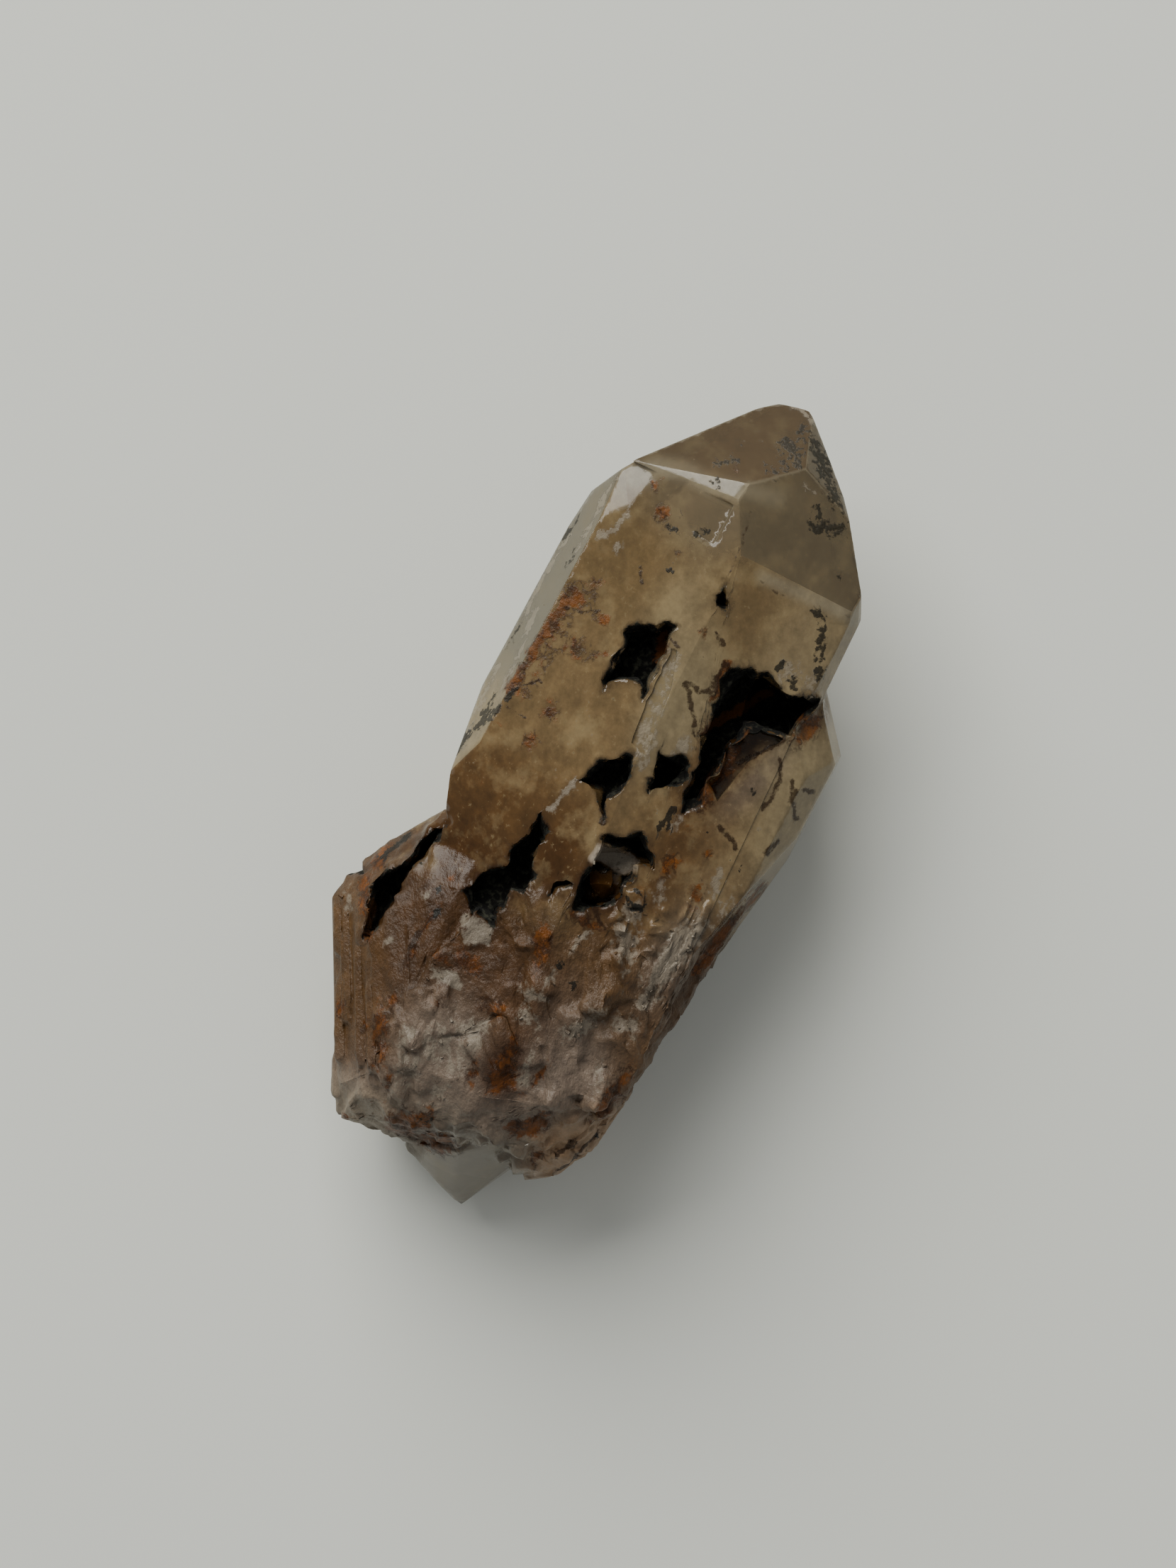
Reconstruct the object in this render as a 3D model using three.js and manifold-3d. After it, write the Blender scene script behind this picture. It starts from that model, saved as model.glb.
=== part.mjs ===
// A natural citrine specimen: one stubby smoky-yellow quartz crystal lying on a prism face, its point
// towards +X, grown together at its broken root with smaller crystals. The whole cluster is one solid.
// Millimetres, +Z up. While it is built, X runs along the main crystal's long axis, Y across it, and
// Z = 0 is the surface that it rests on. At the end it is centred over the origin.
import * as THREE from "three";
import { ConvexGeometry } from "three/addons/geometries/ConvexGeometry.js";
import { mergeVertices } from "three/addons/utils/BufferGeometryUtils.js";
import Module from "manifold-3d";

const wasm = await Module();
wasm.setup();

// Driving dimensions of the main crystal.
const RIDGE = [0, -1.8, 23.7]; // the long edge between its two upper prism faces
const UPPER_LEFT_TURN = 6;
const UPPER_RIGHT_TURN = -13;
const TIP = [41, -0.5, 17.2]; // the point, before it was chipped
const PRISM = 90; // a prism face's normal is square to the long axis
const RHOMB = 52; // a rhombohedral face's normal leans this far from the long axis
const CORE = new THREE.Vector3(5, 0, 12); // a place well inside the main crystal

const WELD = 1e-3; // corners nearer than this are one corner
const CLEAR_ABOVE = 30; // cutters reach up past the top of the specimen to this height
const PIT_TAPER = 0.84; // a pit's floor, as a share of its mouth
const ROOT_MIDDLE = new THREE.Vector3(-22, 0, 11);
const ROOT_HEADING = 29; // the root's small crystals and broken chunks run this way, turned from +X
const CHUNK_COUNT = 150;
const CHUNK_SIZE = [2.6, 6.6]; // the length of the root's broken chunks, smallest and largest
const CHUNK_RADIUS = [0.22, 0.32]; // from a chunk's long axis to its edges, in lengths
const CHUNK_RISE = [0.25, 0.8]; // how far a chunk stands out from the root
const BUNDLE_EDGE = 9.5; // the left bundle, past this Y, has ridges instead of chunks
const FLAKE_REACH = [0.22, 0.34]; // from a flake's middle to its corners along each axis, in sizes

const rad = THREE.MathUtils.degToRad;
const point = ([x, y, z]) => new THREE.Vector3(x, y, z);

// The same pseudo-random row each time.
function seededRandom(seed) {
  let state = seed;
  return () => {
    state = (state * 1664525 + 1013904223) % 4294967296;
    return state / 4294967296;
  };
}
const random = seededRandom(20);
const between = (low, high) => low + (high - low) * random();

// A flat face by the angle that its normal makes with the long axis, the normal's turn about that axis
// (0 is up, positive towards +Y) and one place that it passes through.
function face(lean, turn, place) {
  const normal = new THREE.Vector3(
    Math.cos(rad(lean)),
    Math.sin(rad(lean)) * Math.sin(rad(turn)),
    Math.sin(rad(lean)) * Math.cos(rad(turn)),
  );
  return new THREE.Plane().setFromNormalAndCoplanarPoint(normal, point(place));
}

// A flat face of the main crystal through three places.
function faceThrough(a, b, c) {
  const plane = new THREE.Plane().setFromCoplanarPoints(point(a), point(b), point(c));
  return plane.distanceToPoint(CORE) > 0 ? plane.negate() : plane;
}

// The corner that three faces share, or null where they share none.
function cornerOf(a, b, c) {
  const rows = [a, b, c].flatMap((plane) => plane.normal.toArray());
  const matrix = new THREE.Matrix3().set(...rows);
  if (Math.abs(matrix.determinant()) < WELD * WELD) return null;
  return new THREE.Vector3(-a.constant, -b.constant, -c.constant).applyMatrix3(matrix.invert());
}

// The closed shape that lies inside every face.
function crystalOf(faces) {
  const corners = [];
  faces.forEach((a, i) =>
    faces.slice(i + 1).forEach((b, j) =>
      faces.slice(i + j + 2).forEach((c) => {
        const corner = cornerOf(a, b, c);
        if (!corner || faces.some((f) => f.distanceToPoint(corner) > WELD)) return;
        if (!corners.some((other) => other.distanceTo(corner) < WELD)) corners.push(corner);
      }),
    ),
  );
  return asSolid(new ConvexGeometry(corners));
}

// A closed geometry as a solid for joining and cutting.
function asSolid(geometry) {
  const bare = new THREE.BufferGeometry();
  const loose = geometry.index ? geometry.toNonIndexed() : geometry;
  bare.setAttribute("position", loose.getAttribute("position"));
  const merged = mergeVertices(bare, WELD);
  return new wasm.Manifold(
    new wasm.Mesh({
      numProp: 3,
      vertProperties: merged.attributes.position.array,
      triVerts: new Uint32Array(merged.index.array),
    }),
  );
}

// A solid's surface as geometry.
function geometryOf(solid) {
  const mesh = solid.getMesh();
  const geometry = new THREE.BufferGeometry();
  geometry.setAttribute("position", new THREE.BufferAttribute(mesh.vertProperties, 3));
  geometry.setIndex(new THREE.BufferAttribute(mesh.triVerts, 1));
  geometry.computeVertexNormals();
  return geometry;
}

// An angular lump with corners at the given places.
const lump = (places) => asSolid(new ConvexGeometry(places.map(point)));

// The main crystal: tapering prism faces and the rhombohedral faces of its point.
function mainCrystal() {
  const prism = [
    face(PRISM, UPPER_LEFT_TURN, RIDGE),
    face(PRISM, UPPER_RIGHT_TURN, RIDGE),
    face(111, 29, [-3, 8, 22.7]), // the shoulder that falls away to the neck
    face(88.5, 62, [12, 11.4, 22.3]), // the steep glassy side
    face(102, 114, [-2, 12.9, 19.5]),
    face(88, 116, [8, 14, 18.2]),
    face(80, 112, [20, 13.6, 17.6]),
    face(89, -63, [20, -13.3, 21]),
    face(PRISM, -114, [20, -14.3, 19]),
    face(PRISM, 180, [0, 0, 0]),
  ];
  const termination = [
    faceThrough([30, 9.6, 22.5], [31, -1.8, 23.7], [33, -1.5, 23.2]), // narrow light facet
    faceThrough([30, 9.6, 22.5], [33, -1.5, 23.2], [40.9, 0, 17.2]), // large brown face
    faceThrough([26.4, -3, 23.42], [26.4, -13.2, 21.07], [36, -3.4, 21.6]), // smooth grey face
    faceThrough([36.2, -3.4, 21.5], [40.9, -2, 17.7], [34, -9, 20.6]), // narrow right face
    face(54, 100, [30, 10.45, 22.3]),
    face(58, 95, [28.4, 11.5, 19]),
    face(RHOMB, 125, [40.9, 0.5, 16.5]),
    face(RHOMB, 180, TIP),
    face(49, -110, [40.6, -2.2, 17.4]),
    face(55, -100, [27, -13.9, 20]),
    face(14, 100, [40.9, 0, 17]), // the chip at the very tip
  ];
  const root = [
    face(180, 0, [-28, 0, 0]),
    face(125, 20, [-24, 2, 21.6]),
    face(115, 90, [-24, 11.5, 12]),
    face(140, -50, [-28, -7, 18]),
  ];
  return crystalOf([...prism, ...termination, ...root]);
}

// The smaller crystal that lies along the main one on its right.
function sideCrystal() {
  return crystalOf([
    face(PRISM, UPPER_RIGHT_TURN, [8, -13, 21]), // all but flush with the main crystal's face
    face(90.5, -52, [8, -17, 19]),
    face(91, -86, [8, -18.1, 16]),
    face(91, -104, [8, -18.2, 13]),
    face(93, -140, [8, -16.6, 6]),
    face(PRISM, 180, [0, 0, 1.2]),
    face(PRISM, 90, [0, -11.4, 8]),
    face(103, -80, [1, -17.6, 13]), // it narrows towards the root
    face(72, -34, [14.2, -14.6, 20]), // its own point
    face(54, -72, [14.6, -17.4, 17]),
    face(50, -100, [17.4, -15.7, 14]),
    face(52, -140, [15, -16.4, 7]),
    face(180, 0, [-14, 0, 0]),
  ]);
}

// The quartz that the main crystal grew from, broken off at its left end.
function rootBlock() {
  return lump([
    [-9, 4, 22.6], [-10, -7, 22.2], [-19, 7, 21.8], [-20, -4, 22.9], [-27, 6.4, 21],
    [-28, -2, 21.8], [-26, -8, 21.2], [-32, 7.6, 17.6], [-33, 2.4, 18], [-31.4, -3.4, 18.8],
    [-35.9, 8, 12.2], [-35.2, 3, 12], [-34.5, -0.4, 10.6], [-20, -12.6, 20.8], [-21, -14.8, 17],
    [-10, -15, 18], [-8, -16, 13], [-30, -8.6, 17.6], [-28, -12.2, 16.8], [-35.2, 7.2, 4.8],
    [-33.8, 0, 2.4], [-27, -10, 1.2], [-14, -12.6, 0.9], [-30, 9, 4], [-4, -15.8, 9],
  ]);
}

// The rusty corner below it.
function cornerLump() {
  return lump([
    [-32.7, -10.3, 12.6], [-32, -12.2, 10.4], [-28, -14.1, 13.5], [-21, -15, 15.5],
    [-31, -9.2, 16], [-27.4, -8.6, 19.2], [-20.5, -11.4, 21], [-28, -12.8, 16], [-31.4, -11, 2.6],
    [-25, -13, 1.2], [-20, -7, 2.5],
  ]);
}

// The ledge along the right edge, between the root and the side crystal.
function rightLedge() {
  return lump([
    [-19, -11.6, 20.6], [-16, -15.2, 17.6], [-11.6, -15.8, 17], [-6, -16.2, 17.4],
    [-2, -16.6, 18], [3, -14.4, 20], [-3, -12.8, 21.2], [-16, -13, 11], [1, -14, 10],
    [-12, -15.6, 11], [-2, -16.2, 10],
  ]);
}

// The clear shard that sticks out low down at the broken end.
function clearShard() {
  return lump([
    [-38.9, -5.6, 3.4], [-38.3, -4.6, 5.6], [-37.7, -2.8, 7], [-36.5, -0.8, 8.6],
    [-35.7, 1.6, 8.6], [-33.6, -3.2, 15], [-34.4, -0.6, 13], [-30, -5, 17.6], [-29.6, -8.2, 16.4],
    [-33, -8.5, 7], [-35, -7.2, 5.4], [-31.6, -8.6, 12], [-36, -5, 1], [-34, 0.5, 1.4],
    [-31, -8, 1.2], [-26, 0, 2], [-25, -6, 2],
  ]);
}

// The bundle of parallel crystals on the left of the root.
function leftBundle() {
  return lump([
    [-36, 8.3, 10.5], [-33, 9.4, 14], [-30.6, 11.2, 13], [-24.6, 13.7, 12.8],
    [-17.5, 17.8, 12.6], [-13.4, 16.8, 12.4], [-11.9, 15, 13.4], [-8.5, 13.6, 14.6],
    [-6, 12, 16], [-30, 7, 19.6], [-24, 7.4, 21], [-12, 7.4, 21.2], [-17.6, 13.6, 18.8],
    [-12.6, 13, 18.4], [-32, 8, 4], [-20, 13.5, 5], [-12, 12.5, 5], [-16, 4, 2.5],
    [-5, 7, 20], [-27, 2, 20.4], [-10, 2, 20.8],
  ]);
}

const caster = new THREE.Raycaster();
const DOWN = new THREE.Vector3(0, 0, -1);

// The height of a surface under the place x, y.
function heightAt(surface, x, y) {
  caster.set(new THREE.Vector3(x, y, CLEAR_ABOVE), DOWN);
  const [hit] = caster.intersectObject(surface);
  return hit ? hit.point.z : 0;
}

// A slender crystal from one place to another, six-sided, with a blunt end.
function rod(from, to, radius) {
  const along = to.clone().sub(from);
  const shape = new THREE.CylinderGeometry(radius * 0.7, radius, along.length(), 6, 1);
  shape.applyQuaternion(
    new THREE.Quaternion().setFromUnitVectors(new THREE.Vector3(0, 1, 0), along.normalize()),
  );
  const middle = from.clone().add(to).multiplyScalar(0.5);
  shape.translate(...middle.toArray());
  return asSolid(shape);
}

// The ridges of the left bundle: the edges of its parallel crystals.
function bundleRidges(surface) {
  const heading = rad(ROOT_HEADING);
  const sink = 0.6; // share of a ridge's radius that lies below the surface
  const ridges = [
    { end: [-17.9, 16.9], length: 5, radius: 1 },
    { end: [-18.2, 15.9], length: 9, radius: 0.8 },
    { end: [-20.4, 14.9], length: 8, radius: 0.9 },
    { end: [-24.1, 13.7], length: 6, radius: 0.9 },
    { end: [-20.6, 13.3], length: 11, radius: 0.8 },
    { end: [-25.6, 12.8], length: 6, radius: 0.9 },
    { end: [-20.9, 12.1], length: 12, radius: 0.7 },
    { end: [-23, 10.9], length: 8, radius: 0.9 },
    { end: [-30.7, 10.9], length: 4, radius: 0.9 },
    { end: [-18.9, 10.9], length: 12, radius: 0.8 },
    { end: [-26, 9.4], length: 6, radius: 0.8 },
    { end: [-19.6, 9.5], length: 9, radius: 0.7 },
    { end: [-16.6, 10.4], length: 7, radius: 0.7 },
  ];
  return ridges.map(({ end: [x, y], length, radius }) => {
    const back = [x - length * Math.cos(heading), y - length * Math.sin(heading)];
    const from = new THREE.Vector3(...back, heightAt(surface, ...back) - sink * radius);
    const to = new THREE.Vector3(x, y, heightAt(surface, x, y) - sink * radius);
    return rod(from, to, radius);
  });
}

// One broken chunk of quartz, a short six-sided block that lies roughly along the root's heading. It is
// sunk below a place on the surface so far that only its top rises there, outwards.
function chunk(place, outwards, length) {
  const lie = rad(ROOT_HEADING) + between(-0.5, 0.5);
  const turn = new THREE.Euler(between(0, Math.PI), between(-0.4, 0.4), lie, "ZYX");
  const corners = [-0.5, 0.5].flatMap((end) =>
    [0, 60, 120, 180, 240, 300].map((angle) => {
      const radius = length * between(...CHUNK_RADIUS);
      const x = length * end * between(0.7, 1.1);
      const corner = new THREE.Vector3(x, radius * Math.cos(rad(angle)), radius * Math.sin(rad(angle)));
      return corner.applyEuler(turn);
    }),
  );
  const reach = Math.max(...corners.map((corner) => corner.dot(outwards)));
  const middle = place.clone().addScaledVector(outwards, between(...CHUNK_RISE) - reach);
  return asSolid(new ConvexGeometry(corners.map((corner) => corner.add(middle))));
}

// Whether a place on the surface is broken root: not the bundle, the right edge, the clear shard or low.
function isBroken({ x, y, z }) {
  const onShard = x < -33 && y < 0;
  return x < -11 && y < BUNDLE_EDGE && y > -14 && z > 4 && !onShard;
}

// The broken quartz that covers the root: chunks half sunk all over its open sides.
function rootChunks(surface) {
  const chunks = [];
  while (chunks.length < CHUNK_COUNT) {
    const way = new THREE.Vector3(between(-1, 0.9), between(-1, 1), between(-0.2, 1)).normalize();
    caster.set(ROOT_MIDDLE.clone().addScaledVector(way, 60), way.clone().negate());
    const [{ point: place }] = caster.intersectObject(surface);
    if (isBroken(place)) chunks.push(chunk(place, way, between(...CHUNK_SIZE)));
  }
  return chunks;
}

const BOX_CORNERS = [-1, 1].flatMap((x) => [-1, 1].flatMap((y) => [-1, 1].map((z) => [x, y, z])));

// One blocky flake with its middle at a place, drawn out along X, Y and Z by the stretch.
function flake(middle, size, stretch = [1, 1, 1]) {
  const turn = new THREE.Euler(between(0, Math.PI), between(0, Math.PI), between(0, Math.PI));
  const corners = BOX_CORNERS.map((corner) => {
    const reach = size * between(...FLAKE_REACH);
    const way = point(corner).applyEuler(turn);
    return way.multiplyScalar(reach).multiply(point(stretch)).add(middle);
  });
  return asSolid(new ConvexGeometry(corners));
}

// The stacked white flakes along the right edge of the root, and the rough ground behind them.
function whiteFlakes(surface) {
  const flakes = Array.from({ length: 26 }, () => {
    const x = -15 + 11 * between(0, 1);
    const y = -11.4 - 2.6 * between(0, 1);
    const sunk = new THREE.Vector3(x, y, heightAt(surface, x, y) - 0.15);
    return flake(sunk, between(1.6, 2.6), [between(1.4, 2), 0.45, 0.5]);
  });
  const ground = Array.from({ length: 22 }, () => {
    const x = -12 + 8 * between(0, 1);
    const y = -10.5 + 4.5 * between(0, 1);
    const sunk = new THREE.Vector3(x, y, heightAt(surface, x, y) - 0.5);
    return flake(sunk, between(1.6, 3));
  });
  return [...flakes, ...ground];
}

// A hollow by the outline of its mouth and the height of its floor.
function pit(outline, floor) {
  const shape = new THREE.Shape(outline.map(([x, y]) => new THREE.Vector2(x, y)));
  const hole = new THREE.ExtrudeGeometry(shape, { depth: CLEAR_ABOVE - floor, bevelEnabled: false });
  hole.translate(0, 0, floor);
  const middle = outline.reduce(([a, b], [x, y]) => [a + x, b + y], [0, 0]);
  const [mx, my] = middle.map((sum) => sum / outline.length);
  const places = hole.getAttribute("position");
  for (let i = 0; i < places.count; i += 1) {
    if (places.getZ(i) > floor + WELD) continue;
    places.setX(i, mx + (places.getX(i) - mx) * PIT_TAPER);
    places.setY(i, my + (places.getY(i) - my) * PIT_TAPER);
  }
  return asSolid(hole);
}

// The dark hollows of the main crystal, and the shallow steps that growth and wear left beside them.
function hollows() {
  return [
    // Beside the ridge, on the upper left face.
    pit([[10, 4.2], [16.5, 4.2], [17.3, 2.5], [18.2, 1.5], [18, 0.3], [11, 0.1], [12, 1.3],
      [11.4, 2.9]], 20.4),
    pit([[1.6, 2.1], [4, 1.2], [6, -0.3], [5.5, -1.5], [3.8, -2], [2, -1], [-0.5, -1.3],
      [1.4, 0.2]], 21.2),
    pit([[-13.4, 3.2], [-13, 6], [-12, 7.2], [-10, 6.6], [-8.5, 5], [-6, 4.8], [-5, 4.2],
      [-3.5, 4.1], [-2.5, 3.6], [-3.8, 2.5], [-6, 2.7], [-8, 1.5], [-9.5, 2], [-10, 3]], 19.6),
    // On the upper right face: the small one, then the two limbs of the long channel.
    pit([[3.2, -4], [4.5, -3.3], [7.3, -3.2], [7.4, -4.5], [7, -6.2], [5, -5.6]], 19.9),
    pit([[3.5, -7], [8, -6.5], [11, -5.8], [14, -5.9], [16.5, -6.3], [18, -7], [17.5, -8.3],
      [13, -9.3], [11.5, -9], [9, -8.6], [4, -8.6]], 17.6),
    pit([[12.6, -8], [17.5, -7.6], [18.2, -8.6], [17.6, -10], [17.2, -11.8], [17.9, -13],
      [17.6, -14], [13.5, -13.3], [13.2, -10.5]], 14.6),
    pit([[5, -9.8], [6, -8.4], [11, -8.4], [13.8, -10.5], [13.8, -13], [10, -10.8]], 19.3),
    pit([[21.3, -1.6], [23.5, -1.6], [22.2, -2.8], [21.5, -2.9]], 22.2),
    // The ring about the small white crystal.
    pit([[-9, -2.6], [-7, -1.9], [-1.6, -2], [-0.9, -3.5], [-0.1, -5], [-0.4, -6.2], [-2.2, -7.3],
      [-2.6, -6], [-4, -6], [-7, -5.6], [-8.6, -4]], 19.4),
    pit([[-8.6, 0.3], [-7.8, 0.1], [-6.7, -0.8], [-6.9, -1.6], [-8, -0.6]], 21.6),
    // In the crest of the left bundle.
    pit([[-20, 13.5], [-17, 14.5], [-15, 14.6], [-13.5, 14], [-12, 12.9], [-9, 12.4], [-7.2, 11.2],
      [-9, 11], [-11, 11.9], [-15, 12], [-19.6, 12.7]], 14.2),
    pit([[-15.9, 18.2], [-12.9, 17.7], [-13.9, 16.6], [-14.8, 16.1]], 10),
    // Growth steps: the frosted strip along the ridge and the flat window near the point.
    pit([[5.5, -2.4], [13, -1.7], [17, -0.5], [17, 0.2], [10.5, 0], [6, -0.4]], 23.3),
    pit([[25.8, 0.3], [30.5, 0.2], [30.3, 6], [28.8, 6.6], [27.5, 5.5], [26.2, 3]], 23.1),
  ];
}

// Flat-sided notches that knocks left: at the edge of the glassy side and at the foot of the point.
function notches() {
  return [
    lump([[21.8, 11.9, 26], [24, 8, 26], [30.1, 6.6, 26], [30.1, 11.9, 26], [22.2, 11.3, 22.5],
      [24.2, 8.2, 23], [29.8, 6.8, 23.15], [29.6, 11.6, 21.4]]),
    lump([[19.6, -13.3, 21.3], [25.9, -12, 21.5], [24, -10.4, 21.9], [25.7, -14.8, 20.1],
      [20, -15, 20.2], [19.6, -15, 24], [24, -10, 24], [26, -15, 24]]),
  ];
}

// What stands in the ring: a small white crystal and a rounded brown grain.
function ringCrystals() {
  const white = [
    face(PRISM, 0, [0, 0, 22.6]),
    face(150, -60, [-4.1, 0, 21]),
    face(32, -60, [-1.7, -4, 22]),
    face(90, 90, [0, -2.3, 20]),
    face(90, -80, [-3, -5.9, 20]),
    face(90, 180, [0, 0, 18]),
  ];
  return [crystalOf(white), flake(new THREE.Vector3(-5.8, -3.9, 20.4), 3.4)];
}

const quartz = new THREE.MeshStandardMaterial({
  color: 0xa8926c,
  roughness: 0.25,
  metalness: 0,
});

// The stone without the small voids that close in between overlapping crystals: they are solid quartz.
function withoutVoids(solid) {
  return solid.decompose().reduce((a, b) => (a.volume() > b.volume() ? a : b));
}

// The whole cluster, grown together as one solid.
function specimen() {
  const grown = [
    mainCrystal(),
    sideCrystal(),
    rootBlock(),
    cornerLump(),
    rightLedge(),
    clearShard(),
    leftBundle(),
  ];
  const whole = grown.reduce((sum, solid) => sum.add(solid));
  const surface = new THREE.Mesh(geometryOf(whole), quartz);
  const relief = [...bundleRidges(surface), ...rootChunks(surface), ...whiteFlakes(surface)];
  const rough = relief.reduce((sum, solid) => sum.add(solid), whole);
  const cut = [...hollows(), ...notches()].reduce((sum, solid) => sum.subtract(solid), rough);
  return withoutVoids(ringCrystals().reduce((sum, solid) => sum.add(solid), cut));
}

const citrine = new THREE.Group();
const cluster = new THREE.Mesh(geometryOf(specimen()), quartz);
cluster.name = "citrine_cluster";
cluster.geometry.computeBoundingBox();
const { min, max } = cluster.geometry.boundingBox;
cluster.geometry.translate(-(min.x + max.x) / 2, -(min.y + max.y) / 2, -min.z);
citrine.add(cluster);

export default citrine;
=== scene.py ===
import logging
import math
from collections.abc import Callable
from dataclasses import dataclass, field
from enum import Enum
from functools import partial

import bmesh
import bpy
import numpy as np
from bpy.types import ID, Material, Mesh, Node, NodeTree, Object, bpy_prop_collection
from bpy.types import NodeSocket as Socket
from mathutils import Matrix, Vector, noise


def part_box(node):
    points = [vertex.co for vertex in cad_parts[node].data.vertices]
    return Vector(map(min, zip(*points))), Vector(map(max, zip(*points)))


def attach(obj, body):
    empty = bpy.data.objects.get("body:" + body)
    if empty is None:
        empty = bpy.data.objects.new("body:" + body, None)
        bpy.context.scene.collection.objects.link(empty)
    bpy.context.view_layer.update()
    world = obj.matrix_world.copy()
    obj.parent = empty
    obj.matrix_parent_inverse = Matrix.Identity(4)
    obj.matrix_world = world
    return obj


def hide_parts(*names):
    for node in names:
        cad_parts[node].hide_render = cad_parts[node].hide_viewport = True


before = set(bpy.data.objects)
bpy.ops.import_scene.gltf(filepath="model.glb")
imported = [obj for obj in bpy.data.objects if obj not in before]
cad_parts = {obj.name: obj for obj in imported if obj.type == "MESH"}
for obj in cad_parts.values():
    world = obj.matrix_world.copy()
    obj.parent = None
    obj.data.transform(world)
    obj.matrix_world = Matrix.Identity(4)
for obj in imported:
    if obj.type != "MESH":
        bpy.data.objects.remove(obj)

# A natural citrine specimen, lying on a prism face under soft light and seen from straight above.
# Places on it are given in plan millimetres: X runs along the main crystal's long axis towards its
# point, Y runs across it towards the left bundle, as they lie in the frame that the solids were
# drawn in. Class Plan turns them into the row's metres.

log = logging.getLogger("citrine")

MM = 0.001
BODY = "root"
NODE = "citrine_cluster"
ROOT_HEADING = 29.0  # the root's small crystals run this way, in degrees from +X
UPPER_FROM = 8.0  # marks fade in from this height, in millimetres,
UPPER_FULL = 12.0  # to this one, and lie on the stone's upper side only
FAINT = 0.01  # a share below this doesn't show

Points = tuple[tuple[float, float], ...]


def linear(hex_colour: str) -> tuple[float, float, float, float]:
    """Turns an sRGB hex colour into linear RGBA.

    Args:
        hex_colour: a colour such as "#77654a".

    Returns:
        Linear red, green, blue and an alpha of 1.
    """
    channels = [int(hex_colour[i : i + 2], 16) / 255 for i in (1, 3, 5)]
    toe = [c / 12.92 if c <= 0.04045 else ((c + 0.055) / 1.055) ** 2.4 for c in channels]
    return (*toe, 1.0)


class Field(Enum):
    """The fields that the stone's mesh carries for its material, one number at each vertex."""

    HOLLOW = "hollow"  # depth inside a hollow's mouth, in millimetres, negative outside
    RUST = "rust"
    FROST = "frost"
    INK = "ink"
    CRACK = "crack"
    EDGE = "edge"  # 1 on the point's sharp edges, painted pale there: rubbed quartz with a painted highlight
    ROOT = "root"  # 1 on the broken root and the bundle, 0 on the clean crystal faces
    SUGAR = "sugar"  # where loose grains of broken quartz sit


TINT = "tint"  # the colour field: a tone at each face corner, with its clearness as alpha


class Tone(Enum):
    """The tones of the quartz with their clearness, from the palest window to the stained root, and one
    painted highlight.
    """

    PALE = ("#a0967d", 0.7)
    SAND = ("#998867", 0.42)
    TAN = ("#806947", 0.38)
    HONEY = ("#7a6442", 0.44)
    SMOKY = ("#7d6a4f", 0.7)
    SMOKY_GREY = ("#7f7157", 0.68)
    WINDOW = ("#7f7159", 0.6)
    # a painted highlight: the pale arc on the point's wedge facet and the thin lines along its facet
    # edges
    ARC = ("#a0957c", 0.5)
    BROWN = ("#5c4123", 0.3)
    UMBER = ("#3f270f", 0.16)
    RUSTY = ("#361a05", 0.1)
    MILK = ("#938572", 0.25)
    GREY = ("#64564a", 0.25)
    LILAC = ("#7c6c5e", 0.3)
    MAUVE = ("#513822", 0.2)
    PEACH = ("#a18263", 0.35)
    CHALK = ("#c9bcab", 0.1)
    SHARD = ("#958b79", 0.62)

    def values(self) -> np.ndarray:
        """Gives the tone as linear red, green and blue and its clearness."""
        colour, clear = self.value
        return np.array([*linear(colour)[:3], clear])


class Facing(Enum):
    """The crystal faces that have a tone of their own or a painted highlight: the way they face, and how
    near is enough.
    """

    ANY = (0.0, 0.0, 0.0, -1.0)
    GLASSY_SIDE = (0.15, 0.98, 0.1, 0.74)
    # the wedge facet of the point, which carries a painted highlight
    LIGHT_WEDGE = (0.224, 0.121, 0.967, 0.988)
    LARGE_TIP = (0.567, 0.204, 0.798, 0.98)
    GREY_TIP = (0.173, -0.221, 0.96, 0.988)
    RIGHT_TIP = (0.648, -0.362, 0.668, 0.97)

    def share(self, normals: np.ndarray) -> np.ndarray:
        """Gives 1 for each normal that faces this way and 0 for the others, soft between."""
        *way, limit = self.value
        return np.clip((normals @ np.array(way) - limit) / 0.006 + 0.5, 0, 1)


@dataclass(frozen=True)
class Spot:
    """A soft oval spot on the stone's upper side, in plan millimetres."""

    x: float
    y: float
    length: float
    width: float
    strength: float = 1.0
    turn: float = 0.0  # in degrees

    def weigh(self, plan: np.ndarray) -> np.ndarray:
        """Gives the spot's strength at each plan place (rows of x and y), less past its rim."""
        along, across = turn_axes(plan - (self.x, self.y), self.turn)
        return self.strength * np.exp(-0.7 * ((along / self.length) ** 2 + (across / self.width) ** 2))


@dataclass(frozen=True)
class Trace:
    """A thin line on the stone's upper side, such as a crack or a row of specks."""

    points: Points
    width: float = 0.35
    strength: float = 1.0

    def weigh(self, plan: np.ndarray) -> np.ndarray:
        """Gives the line's strength at each plan place (rows of x and y)."""
        return self.strength * np.exp(-((line_distance(plan, self.points) / self.width) ** 2))


def turn_axes(places: np.ndarray, degrees: float) -> tuple[np.ndarray, np.ndarray]:
    """Measures places along a heading and across it.

    Args:
        places: rows that start with x and y.
        degrees: the heading, from +X.

    Returns:
        The distances along it, and those across it.
    """
    cos, sin = math.cos(math.radians(degrees)), math.sin(math.radians(degrees))
    x, y = places[:, 0], places[:, 1]
    return x * cos + y * sin, y * cos - x * sin


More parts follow.
